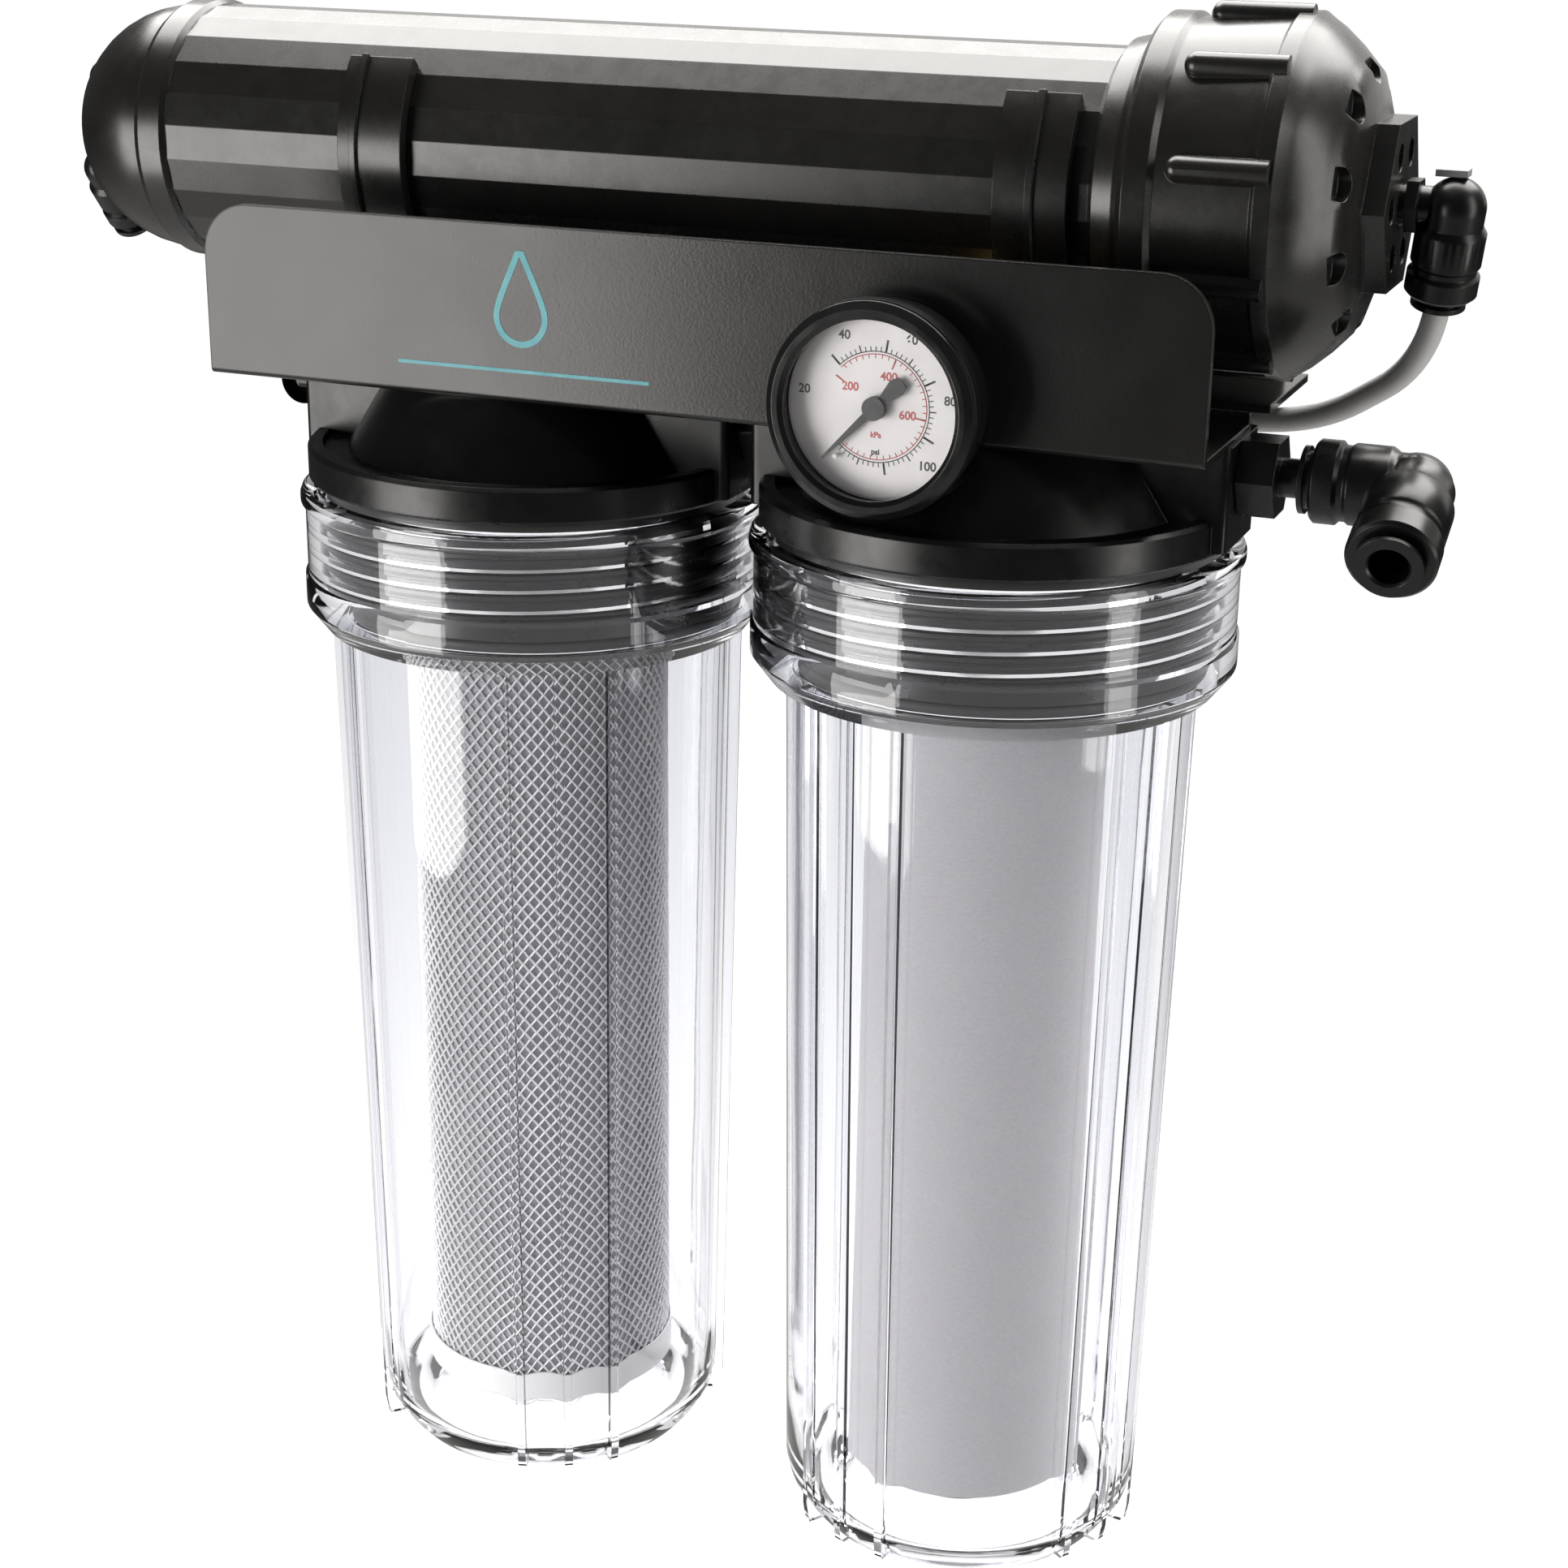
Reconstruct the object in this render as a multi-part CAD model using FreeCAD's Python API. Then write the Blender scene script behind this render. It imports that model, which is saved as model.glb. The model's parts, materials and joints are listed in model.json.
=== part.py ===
import FreeCAD, Part
import math
import os

# Two-stage reverse osmosis unit, in millimetres.
# X runs along the bracket, Y runs back towards the wall, Z is up.
# Parts are drawn from the bracket's front face, level with the underside of its shelf.
# They are saved with the origin on the wall, midway between the two wall screws.

os.makedirs("parts", exist_ok=True)

V = FreeCAD.Vector
AXIS_X = V(1, 0, 0)
AXIS_Y = V(0, 1, 0)
AXIS_Z = V(0, 0, 1)

# fits
RUNNING_GAP = 0.06
FREE_GAP = 0.35
THREAD_GAP = 0.15

# small fasteners and quarter-inch threads
QUARTER_HOLE = 4.9
QUARTER_THREAD = QUARTER_HOLE - THREAD_GAP
HEAD_SCREW_RADIUS = 1.8
HEAD_SCREW_LENGTH = 12.0
CLIP_SCREW_RADIUS = 1.7
PAN_HEAD_RADIUS = 4.0
PAN_HEAD_HEIGHT = 2.4
HEAD_SCREW_ACROSS = 24.0
HEAD_SCREW_BACK = 14.0
CLIP_SCREW_BACK = 12.0

# bracket
SHEET = 2.0
PANEL_WIDTH = 266.0
PANEL_HEIGHT = 44.3
PANEL_CORNER = 13.0
SHELF_CUT_BACK = 20.0
WALL_DISTANCE = 114.0
WALL_FLANGE_HEIGHT = 62.0
NOTCH_FRONT = 47.0
NOTCH_BACK = 69.0
NOTCH_LENGTH = 25.0
LIP_HEIGHT = 4.5
WALL_HOLE_SPACING = 160.0
WALL_HOLE_HEIGHT = 36.0

# filter housings
HOUSING_SPACING = 130.0
HOUSING_MID_X = 6.5
HOUSING_Y = 40.0
COLLAR_RADIUS = 63.0
COLLAR_TOP = -29.6
COLLAR_BOTTOM = -60.9
COLLAR_FOOT = -67.0
BOWL_TOP_RADIUS = 52.9
BOWL_FOOT_RADIUS = 49.7
BOWL_WALL = 3.3
BOWL_FOOT = -300.0
BOWL_BOTTOM = -312.0
RIM_RADIUS = 60.5
RIM_TOP = -18.0
RIM_BOTTOM = -27.3
CONE_FOOT_RADIUS = 50.0
CONE_TOP_RADIUS = 38.0
PORT_HALF_LENGTH = 62.0
PORT_HALF_WIDTH = 15.0
PORT_FOOT = -26.0
PORT_AXIS = -9.0
PORT_RADIUS = 6.5
PORT_DEPTH = 13.0
WATERWAY = 4.0
THREAD_PITCH = 5.4
THREAD_TURNS = 4.5
THREAD_START_ANGLE = 20.0
THREAD_CORE = 56.0
THREAD_CREST = 57.6
BOWL_BORE = 58.4
BOWL_CREST = 56.5
SKIRT_BOTTOM = -58.45
SKIRT_BORE = 50.5
SEAL_RADIUS = 53.5
SEAL_SECTION = 1.9
RIB_REACH = 3.0
RIB_THICK = 2.2

# cartridges
CARTRIDGE_LENGTH = 250.0
CARTRIDGE_TOP = -46.0
SEDIMENT_RADIUS = 31.75
CARBON_RADIUS = 34.5
CARBON_CAP_RADIUS = 36.2
CARTRIDGE_BORE = 14.0
KNIFE_RADIUS = 18.0

# membrane vessel
VESSEL_Y = 64.0
VESSEL_Z = 54.4
VESSEL_RADIUS = 33.7
VESSEL_FACETS = 24
VESSEL_BORE = 27.0
DOME_CENTRE = -173.0
BEAD_RIGHT = -163.2
FLARE_LEFT = 93.5
CAP_LEFT = 101.5
CAP_RIM = 139.3
CAP_LEFT_RADIUS = 42.6
CAP_RADIUS = 43.8
CAP_DOME = 153.5
HEX_FACE = 162.0
HEX_CORNER = 22.8
NECK_RADIUS = 35.0
CAP_PITCH = 5.0
GRIP_RADIUS = 3.2
GRIP_STANDS = 1.8
NECK_END = 130.3
CAP_SEAL_SECTION = 1.7

# clips
CLIP_WIDTH = 18.5
CLIP_WALL = 3.4
CLIP_LEFT_X = -99.0
CLIP_RIGHT_X = 80.0
CLIP_OPENING = 97.0
CLIP_FOOT = 3.0
CLIP_SCREW_LENGTH = CLIP_FOOT + SHEET - 0.2

# gauge
GAUGE_X = 56.6
GAUGE_Z = 10.1
GAUGE_RADIUS = 26.0
GAUGE_FRONT = -18.0
GAUGE_WINDOW = 21.4
DIAL_SEAT = -10.0
STEM_END = 20.5
PINION_RADIUS = 1.1
SECTOR_RADIUS = 9.9
SECTOR_DROP = PINION_RADIUS + SECTOR_RADIUS
SECTOR_SWING = 30.0
SECTOR_HALF_ANGLE = 22.0

# quick fittings
TUBE_QUARTER = 3.175
TUBE_THREE_EIGHTHS = 4.7625
INLET_TILT = 22.0
SOCKET_DEPTH = 15.0


def cylinder(radius, start, end):
    """Solid round bar between two points."""
    along = end.sub(start)
    return Part.makeCylinder(radius, along.Length, start, along)


def pipe(outer, inner, start, end):
    return cylinder(outer, start, end).cut(cylinder(inner, start, end))


def lathe(profile, origin, direction):
    """Turn (radius, height) points about an axis."""
    points = [V(radius, 0, height) for radius, height in profile]
    points.append(points[0])
    face = Part.Face(Part.makePolygon(points))
    turned = face.revolve(V(0, 0, 0), AXIS_Z, 360)
    turned.Placement = FreeCAD.Placement(origin, FreeCAD.Rotation(AXIS_Z, direction))
    return turned


def block(x0, x1, y0, y1, z0, z1):
    return Part.makeBox(x1 - x0, y1 - y0, z1 - z0, V(x0, y0, z0))


def hexagon(corner, start, end):
    along = end.sub(start)
    points = []
    for side in range(7):
        angle = math.radians(60 * side + 30)
        points.append(V(corner * math.cos(angle), corner * math.sin(angle), 0))
    solid = Part.Face(Part.makePolygon(points)).extrude(V(0, 0, along.Length))
    solid.Placement = FreeCAD.Placement(start, FreeCAD.Rotation(AXIS_Z, along))
    return solid


def torus(ring, section, centre, direction):
    return Part.makeTorus(ring, section, centre, direction)


def fuse(shapes):
    solid = shapes[0].fuse(shapes[1:])
    return solid.removeSplitter()


def helical_ridge(root, crest, foot_width, crest_width, pitch, turns, start_height):
    """Thread ridge about Z, with its first end at the start height."""
    helix = Part.makeHelix(pitch, pitch * turns, root)
    helix.translate(V(0, 0, start_height))
    bite = 0.25 if crest > root else -0.25
    points = [
        V(root - bite, 0, start_height - foot_width / 2),
        V(crest, 0, start_height - crest_width / 2),
        V(crest, 0, start_height + crest_width / 2),
        V(root - bite, 0, start_height + foot_width / 2),
    ]
    points.append(points[0])
    profile = Part.makePolygon(points)
    return Part.Wire(helix.Edges).makePipeShell([profile], True, True)


def save(shape, node):
    if shape.ShapeType == "Compound" and len(shape.Solids) == 1:
        shape = shape.Solids[0]
    shape = shape.copy()
    shape.translate(V(0, -WALL_DISTANCE, -WALL_HOLE_HEIGHT))
    shape.exportStep("parts/" + node + ".step")
    box = shape.BoundBox
    print(node, len(shape.Solids), round(shape.Volume), shape.isValid(),
          [round(value, 1) for value in (box.XMin, box.XMax, box.YMin, box.YMax, box.ZMin, box.ZMax)])


# ---------------------------------------------------------------- bracket

def head_screw_places():
    places = []
    for middle in (LEFT_X, RIGHT_X):
        for across in (-HEAD_SCREW_ACROSS, HEAD_SCREW_ACROSS):
            for back in (-HEAD_SCREW_BACK, HEAD_SCREW_BACK):
                places.append((middle + across, HOUSING_Y + back))
    return places


def clip_screw_places():
    places = []
    for middle in (CLIP_LEFT_X, CLIP_RIGHT_X):
        for back in (-CLIP_SCREW_BACK, CLIP_SCREW_BACK):
            places.append((middle, VESSEL_Y + back))
    return places


def bracket():
    """Front panel, shelf, stiffening lip and wall flange bent from one sheet."""
    half = PANEL_WIDTH / 2
    shelf_left = -half + SHELF_CUT_BACK
    panel = block(-half, half, 0, SHEET, 0, PANEL_HEIGHT)
    corners = [edge for edge in panel.Edges
               if abs(edge.BoundBox.YLength - SHEET) < 0.01 and edge.BoundBox.ZMin > PANEL_HEIGHT - 1]
    panel = panel.makeFillet(PANEL_CORNER, corners)
    shelf = block(shelf_left, half, 0, WALL_DISTANCE, 0, SHEET)
    notch = block(half - NOTCH_LENGTH, half + 1, NOTCH_FRONT, NOTCH_BACK, -1, SHEET + 1)
    shelf = shelf.cut(notch)
    lip = block(half - NOTCH_LENGTH, half, NOTCH_FRONT - SHEET, NOTCH_FRONT, 0, LIP_HEIGHT)
    flange = block(shelf_left, half - 6, WALL_DISTANCE - SHEET, WALL_DISTANCE, 0, WALL_FLANGE_HEIGHT)
    tops = [edge for edge in flange.Edges
            if abs(edge.BoundBox.YLength - SHEET) < 0.01 and edge.BoundBox.ZMin > WALL_FLANGE_HEIGHT - 1]
    flange = flange.makeFillet(8, tops)
    body = fuse([panel, shelf, lip, flange])
    bends = []
    for edge in body.Edges:
        box = edge.BoundBox
        along = box.XLength > 200 and box.YLength < 0.01 and box.ZLength < 0.01
        if along and abs(box.YMin) < 0.01 and abs(box.ZMin) < 0.01:
            bends.append(edge)
    if bends:
        body = body.makeFillet(1.6, bends)
    holes = []
    for x, y in head_screw_places():
        holes.append(cylinder(HEAD_SCREW_RADIUS + 0.5, V(x, y, -1), V(x, y, SHEET + 1)))
    for x, y in clip_screw_places():
        holes.append(cylinder(CLIP_SCREW_RADIUS + 0.4, V(x, y, -1), V(x, y, SHEET + 1)))
    holes.append(cylinder(7.0, V(GAUGE_X, HOUSING_Y, -1), V(GAUGE_X, HOUSING_Y, SHEET + 1)))
    holes.append(cylinder(6.5, V(GAUGE_X, -1, GAUGE_Z), V(GAUGE_X, SHEET + 1, GAUGE_Z)))
    wall_front = WALL_DISTANCE - SHEET - 1
    wall_back = WALL_DISTANCE + 1
    for side in (-1, 1):
        x = side * WALL_HOLE_SPACING / 2
        holes.append(cylinder(2.6, V(x, wall_front, WALL_HOLE_HEIGHT), V(x, wall_back, WALL_HOLE_HEIGHT)))
    return body.cut(holes)


def screw_set(places, seat, length, shank, head):
    """Pan head screws standing in line along Z."""
    head_height = PAN_HEAD_HEIGHT
    screws = []
    for x, y in places:
        top = lathe([(0, seat), (head, seat), (head, seat + head_height * 0.5),
                     (head * 0.7, seat + head_height), (0, seat + head_height)], V(x, y, 0), AXIS_Z)
        body = cylinder(shank, V(x, y, seat - length), V(x, y, seat + 0.1))
        screw = top.fuse(body)
        for across, along in ((0.45, head * 0.6), (head * 0.6, 0.45)):
            recess = block(x - across, x + across, y - along, y + along,
                           seat + head_height * 0.45, seat + head_height + 1)
            screw = screw.cut(recess)
        screws.append(screw)
    return Part.makeCompound(screws)


# ---------------------------------------------------------------- filter housings

def housing_head(middle, gauge_port):
    """Black head with port blocks, waterways, knife edge and male thread."""
    origin = V(middle, HOUSING_Y, 0)
    outside = lathe([
        (0, -0.0), (CONE_TOP_RADIUS, -0.0), (CONE_TOP_RADIUS + 0.6, -1.2),
        (CONE_FOOT_RADIUS, RIM_TOP - 1.5), (RIM_RADIUS - 4.5, RIM_TOP - 1.5), (RIM_RADIUS - 4.0, RIM_TOP),
        (RIM_RADIUS - 1.0, RIM_TOP), (RIM_RADIUS, RIM_TOP - 1.0),
        (RIM_RADIUS, RIM_BOTTOM + 0.8), (RIM_RADIUS - 0.8, RIM_BOTTOM), (THREAD_CORE, RIM_BOTTOM),
        (THREAD_CORE, SKIRT_BOTTOM), (0, SKIRT_BOTTOM),
    ], origin, AXIS_Z)
    ports = block(middle - PORT_HALF_LENGTH, middle + PORT_HALF_LENGTH,
                  HOUSING_Y - PORT_HALF_WIDTH, HOUSING_Y + PORT_HALF_WIDTH, PORT_FOOT, 0)
    ends = [edge for edge in ports.Edges if abs(edge.BoundBox.ZLength + PORT_FOOT) < 0.01]
    ports = ports.makeFillet(2.0, ends)
    body = outside.fuse(ports)
    ceiling = PORT_FOOT - 5.0
    chamber = lathe([
        (KNIFE_RADIUS + 2.5, ceiling), (SKIRT_BORE, ceiling),
        (SKIRT_BORE, SKIRT_BOTTOM - 1), (KNIFE_RADIUS + 2.5, SKIRT_BOTTOM - 1),
    ], origin, AXIS_Z)
    well_top = PORT_AXIS + WATERWAY + 1.0
    well = cylinder(KNIFE_RADIUS - 6.0, V(middle, HOUSING_Y, SKIRT_BOTTOM - 1), V(middle, HOUSING_Y,
            well_top))
    below_knife = cylinder(KNIFE_RADIUS + 3, V(middle, HOUSING_Y, SKIRT_BOTTOM - 1),
                           V(middle, HOUSING_Y, CARTRIDGE_TOP))
    trim = lathe([
        (KNIFE_RADIUS + 0.8, CARTRIDGE_TOP + 3), (KNIFE_RADIUS + 3, CARTRIDGE_TOP + 3),
        (KNIFE_RADIUS + 3, CARTRIDGE_TOP - 1), (KNIFE_RADIUS + 0.4, CARTRIDGE_TOP - 1),
    ], origin, AXIS_Z)
    in_x = middle + 30
    out_end = middle - PORT_HALF_LENGTH
    in_end = middle + PORT_HALF_LENGTH
    y = HOUSING_Y
    tools = [
        chamber, well, below_knife, trim,
        cylinder(WATERWAY, V(in_x, y, PORT_AXIS), V(in_end, y, PORT_AXIS)),
        cylinder(WATERWAY - 0.5, V(in_x, y, ceiling - 1), V(in_x, y, PORT_AXIS)),
        cylinder(WATERWAY, V(middle, y, PORT_AXIS), V(out_end, y, PORT_AXIS)),
        cylinder(PORT_RADIUS, V(in_end - PORT_DEPTH, y, PORT_AXIS), V(in_end + 1, y, PORT_AXIS)),
        cylinder(PORT_RADIUS, V(out_end - 1, y, PORT_AXIS), V(out_end + PORT_DEPTH, y, PORT_AXIS)),
    ]
    for x, back in head_screw_places():
        if abs(x - middle) < PORT_HALF_LENGTH:
            tools.append(cylinder(HEAD_SCREW_RADIUS + 0.1, V(x, back, SHEET - HEAD_SCREW_LENGTH - 2.5),
                    V(x, back, 1)))
    if gauge_port:
        tools.append(cylinder(QUARTER_HOLE, V(GAUGE_X, y, PORT_AXIS), V(GAUGE_X, y, 1)))
        tools.append(cylinder(GAUGE_RADIUS + FREE_GAP, V(GAUGE_X, GAUGE_FRONT - 3, GAUGE_Z),
                              V(GAUGE_X, FREE_GAP, GAUGE_Z)))
    body = body.cut(tools)
    ridge = helical_ridge(THREAD_CORE, THREAD_CREST, 2.4, 1.2, THREAD_PITCH, THREAD_TURNS,
                          SKIRT_BOTTOM + 2.2)
    ridge.rotate(V(0, 0, 0), AXIS_Z, THREAD_START_ANGLE)
    ridge.translate(V(middle, HOUSING_Y, 0))
    return body.fuse(ridge)


def bowl_rib(middle, angle):
    """One moulded rib that runs down the wall and ends in a small lug."""
    top = COLLAR_FOOT + 2.0
    points = [
        V(BOWL_TOP_RADIUS - 1.2, 0, top),
        V(BOWL_TOP_RADIUS + RIB_REACH, 0, top),
        V(BOWL_FOOT_RADIUS + RIB_REACH * 0.8, 0, BOWL_FOOT - 2),
        V(BOWL_FOOT_RADIUS + RIB_REACH * 0.5, 0, BOWL_FOOT - 7.5),
        V(BOWL_FOOT_RADIUS - 3.0, 0, BOWL_FOOT - 7.5),
        V(BOWL_FOOT_RADIUS - 4.5, 0, BOWL_FOOT - 4.5),
        V(BOWL_FOOT_RADIUS - 1.2, 0, BOWL_FOOT - 1),
    ]
    points.append(points[0])
    rib = Part.Face(Part.makePolygon(points)).extrude(V(0, RIB_THICK, 0))
    rib.translate(V(0, -RIB_THICK / 2, 0))
    rib.rotate(V(0, 0, 0), AXIS_Z, angle)
    rib.translate(V(middle, HOUSING_Y, 0))
    return rib


def housing_bowl(middle, first_group):
    """Clear bowl with screw collar, ribs in groups of three and a cartridge seat."""
    origin = V(middle, HOUSING_Y, 0)
    shoulder = SKIRT_BOTTOM - 3.05
    groove = SEAL_SECTION + 0.2
    seat = SKIRT_BOTTOM - 2 * SEAL_SECTION - 0.1
    inner_top = BOWL_TOP_RADIUS - BOWL_WALL
    inner_foot = BOWL_FOOT_RADIUS - BOWL_WALL
    floor = BOWL_FOOT - 3.0
    lip = COLLAR_RADIUS
    body = lathe([
        (BOWL_BORE, COLLAR_TOP), (lip - 1.6, COLLAR_TOP), (lip - 0.5, COLLAR_TOP - 0.6), (lip,
                COLLAR_TOP - 1.9),
        (lip, COLLAR_TOP - 3.6), (lip - 1.2, COLLAR_TOP - 5.0), (lip - 1.2, COLLAR_BOTTOM + 8.5),
        (lip - 0.5, COLLAR_BOTTOM + 7.5), (lip - 0.5, COLLAR_BOTTOM), (lip - 5.2, COLLAR_FOOT),
        (BOWL_TOP_RADIUS + 0.7, COLLAR_FOOT), (BOWL_TOP_RADIUS, COLLAR_FOOT - 0.9),
        (BOWL_FOOT_RADIUS, BOWL_FOOT), (BOWL_FOOT_RADIUS - 0.9, BOWL_FOOT - 3.6),
        (BOWL_FOOT_RADIUS - 2.6, BOWL_FOOT - 4.6), (BOWL_FOOT_RADIUS - 4.0, BOWL_BOTTOM + 3.2),
        (BOWL_FOOT_RADIUS - 6.6, BOWL_BOTTOM), (BOWL_FOOT_RADIUS - 12, BOWL_BOTTOM),
        (BOWL_FOOT_RADIUS - 15, BOWL_BOTTOM + 2), (8, BOWL_BOTTOM + 2), (6, BOWL_BOTTOM + 0.6),
        (0, BOWL_BOTTOM + 0.6), (0, floor - 2.0), (KNIFE_RADIUS - 2, floor - 2.0),
        (KNIFE_RADIUS - 2, CARTRIDGE_TOP - CARTRIDGE_LENGTH),
        (KNIFE_RADIUS - 0.4, CARTRIDGE_TOP - CARTRIDGE_LENGTH),
        (KNIFE_RADIUS + 1.2, floor - 2.0),
        (inner_foot - 6, floor - 2.0), (inner_foot - 1.4, floor + 0.8), (inner_foot, floor + 5),
        (inner_top, shoulder - 1.5), (inner_top, shoulder), (SEAL_RADIUS - groove, shoulder),
        (SEAL_RADIUS - groove, seat), (SEAL_RADIUS + groove, seat), (SEAL_RADIUS + groove, shoulder),
        (BOWL_BORE, shoulder),
    ], origin, AXIS_Z)
    ribs = []
    for group in range(4):
        for step in (-15, 0, 15):
            ribs.append(bowl_rib(middle, first_group + 90 * group + step))
    body = body.fuse(ribs)
    ridge = helical_ridge(BOWL_BORE, BOWL_CREST, 2.4, 1.2, THREAD_PITCH, THREAD_TURNS - 0.6,
                          SKIRT_BOTTOM + 2.2 + THREAD_PITCH / 2)
    ridge.rotate(V(0, 0, 0), AXIS_Z, THREAD_START_ANGLE)
    ridge.translate(V(middle, HOUSING_Y, 0))
    return body.fuse(ridge)


def bowl_seal(middle):
    return torus(SEAL_RADIUS, SEAL_SECTION, V(middle, HOUSING_Y, SKIRT_BOTTOM - SEAL_SECTION - 0.05), AXIS_Z)


def housing_nipple():
    """Short threaded connector between the two heads."""
    left = LEFT_X + PORT_HALF_LENGTH
    right = RIGHT_X - PORT_HALF_LENGTH
    y = HOUSING_Y
    reach = PORT_DEPTH - 2
    thread = PORT_RADIUS - THREAD_GAP
    body = cylinder(thread, V(left - reach, y, PORT_AXIS), V(right + reach, y, PORT_AXIS))
    middle = hexagon(9.4, V(left + 0.3, y, PORT_AXIS), V(right - 0.3, y, PORT_AXIS))
    bore = cylinder(WATERWAY, V(left - reach - 1, y, PORT_AXIS), V(right + reach + 1, y, PORT_AXIS))
    return body.fuse(middle).cut(bore)


# ---------------------------------------------------------------- cartridges

def cartridge_pipe(middle, outer, inner, trim_top, trim_bottom):
    top = CARTRIDGE_TOP - trim_top
    bottom = CARTRIDGE_TOP - CARTRIDGE_LENGTH + trim_bottom
    return pipe(outer, inner, V(middle, HOUSING_Y, bottom), V(middle, HOUSING_Y, top))


def sediment_core():
    """Perforated plastic core inside the spun filter."""
    wall = 1.6
    core = cartridge_pipe(RIGHT_X, CARTRIDGE_BORE - 0.05, CARTRIDGE_BORE - wall, 1.0, 1.0)
    slots = []
    for ring in range(8):
        z = CARTRIDGE_TOP - 22 - ring * 28
        for turn in (0, 90):
            slot = block(-20, 20, -2.5, 2.5, -7, 7)
            slot.rotate(V(0, 0, 0), AXIS_Z, turn + 45 * (ring % 2))
            slot.translate(V(RIGHT_X, HOUSING_Y, z))
            slots.append(slot)
    return core.cut(slots)


def carbon_cap(z_seat, direction):
    """Moulded end cap with a short rim over the block and a spigot in its bore."""
    return lathe([
        (KNIFE_RADIUS - 7.5, 2.2), (CARBON_CAP_RADIUS - 1, 2.2), (CARBON_CAP_RADIUS, 3.2),
        (CARBON_CAP_RADIUS, 12.0), (CARBON_RADIUS + 1.25, 12.0), (CARBON_RADIUS + 1.25, 5.2),
        (CARTRIDGE_BORE - 0.3, 5.2), (CARTRIDGE_BORE - 0.3, 14.0), (KNIFE_RADIUS - 7.5, 14.0),
    ], V(LEFT_X, HOUSING_Y, z_seat), direction)


def carbon_gaskets():
    rings = []
    for z, way in ((CARTRIDGE_TOP, -1), (CARTRIDGE_TOP - CARTRIDGE_LENGTH, 1)):
        rings.append(pipe(KNIFE_RADIUS + 5, KNIFE_RADIUS - 6, V(LEFT_X, HOUSING_Y, z),
                          V(LEFT_X, HOUSING_Y, z + way * 2.2)))
    return Part.makeCompound(rings)


# ---------------------------------------------------------------- gauge

def gauge_case():
    """Black case: cup, stepped front rim and flat back."""
    back = -0.3
    cup = lathe([
        (5.0, back), (GAUGE_RADIUS - 3.0, back), (GAUGE_RADIUS - 1.6, back - 1.5),
        (GAUGE_RADIUS - 1.2, -11.0), (GAUGE_RADIUS, -12.2), (GAUGE_RADIUS, GAUGE_FRONT + 2.6),
        (GAUGE_WINDOW + 2.0, GAUGE_FRONT + 2.6), (GAUGE_WINDOW + 2.0, GAUGE_FRONT + 4.0),
        (GAUGE_WINDOW + 1.0, GAUGE_FRONT + 4.0), (GAUGE_WINDOW + 1.0, DIAL_SEAT),
        (GAUGE_WINDOW - 0.6, DIAL_SEAT), (GAUGE_WINDOW - 0.6, -3.0), (5.0, -3.0),
    ], V(GAUGE_X, 0, GAUGE_Z), AXIS_Y)
    return cup


def gauge_bezel():
    front = GAUGE_FRONT
    return lathe([
        (GAUGE_WINDOW, front + 0.9), (GAUGE_WINDOW + 1.1, front), (GAUGE_RADIUS - 2.0, front),
        (GAUGE_RADIUS - 0.2, front + 1.4), (GAUGE_RADIUS - 0.2, front + 2.6), (GAUGE_WINDOW, front + 2.6),
    ], V(GAUGE_X, 0, GAUGE_Z), AXIS_Y)


def gauge_lens():
    start = GAUGE_FRONT + 2.6
    return cylinder(GAUGE_WINDOW + 1.9, V(GAUGE_X, start, GAUGE_Z), V(GAUGE_X, start + 1.4, GAUGE_Z))


def gauge_dial():
    plate = cylinder(GAUGE_WINDOW + 0.8, V(GAUGE_X, DIAL_SEAT - 0.8, GAUGE_Z), V(GAUGE_X, DIAL_SEAT, GAUGE_Z))
    hole = cylinder(1.6, V(GAUGE_X, -12, GAUGE_Z), V(GAUGE_X, -9, GAUGE_Z))
    stop_angle = math.radians(232)
    stop = V(GAUGE_X + 15.5 * math.cos(stop_angle), -12.8, GAUGE_Z + 15.5 * math.sin(stop_angle))
    pin = cylinder(0.5, stop, V(stop.x, -10.5, stop.z))
    return plate.cut(hole).fuse(pin)


def gauge_pointer():
    """Needle with round hub, fat tail, arbor and pinion, resting at zero."""
    y0 = -12.6
    y1 = -12.0
    points = [V(-2.3, y0, -1.0), V(-7.6, y0, -2.2), V(-9.6, y0, -1.4), V(-9.6, y0, 1.4), V(-7.6, y0, 2.2),
              V(-2.3, y0, 1.0), V(2.3, y0, 1.0), V(18.4, y0, 0.25), V(18.4, y0, -0.25), V(2.3, y0, -1.0)]
    points.append(points[0])
    needle = Part.Face(Part.makePolygon(points)).extrude(V(0, y1 - y0, 0))
    hub = cylinder(2.8, V(0, -13.4, 0), V(0, -11.6, 0))
    arbor = cylinder(0.75, V(0, -12, 0), V(0, -4.2, 0))
    pinion = cylinder(PINION_RADIUS - 0.1, V(0, -8.4, 0), V(0, -6.4, 0))
    whole = fuse([needle, hub, arbor, pinion])
    whole.rotate(V(0, 0, 0), AXIS_Y, 135)
    whole.translate(V(GAUGE_X, 0, GAUGE_Z))
    return whole


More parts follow.
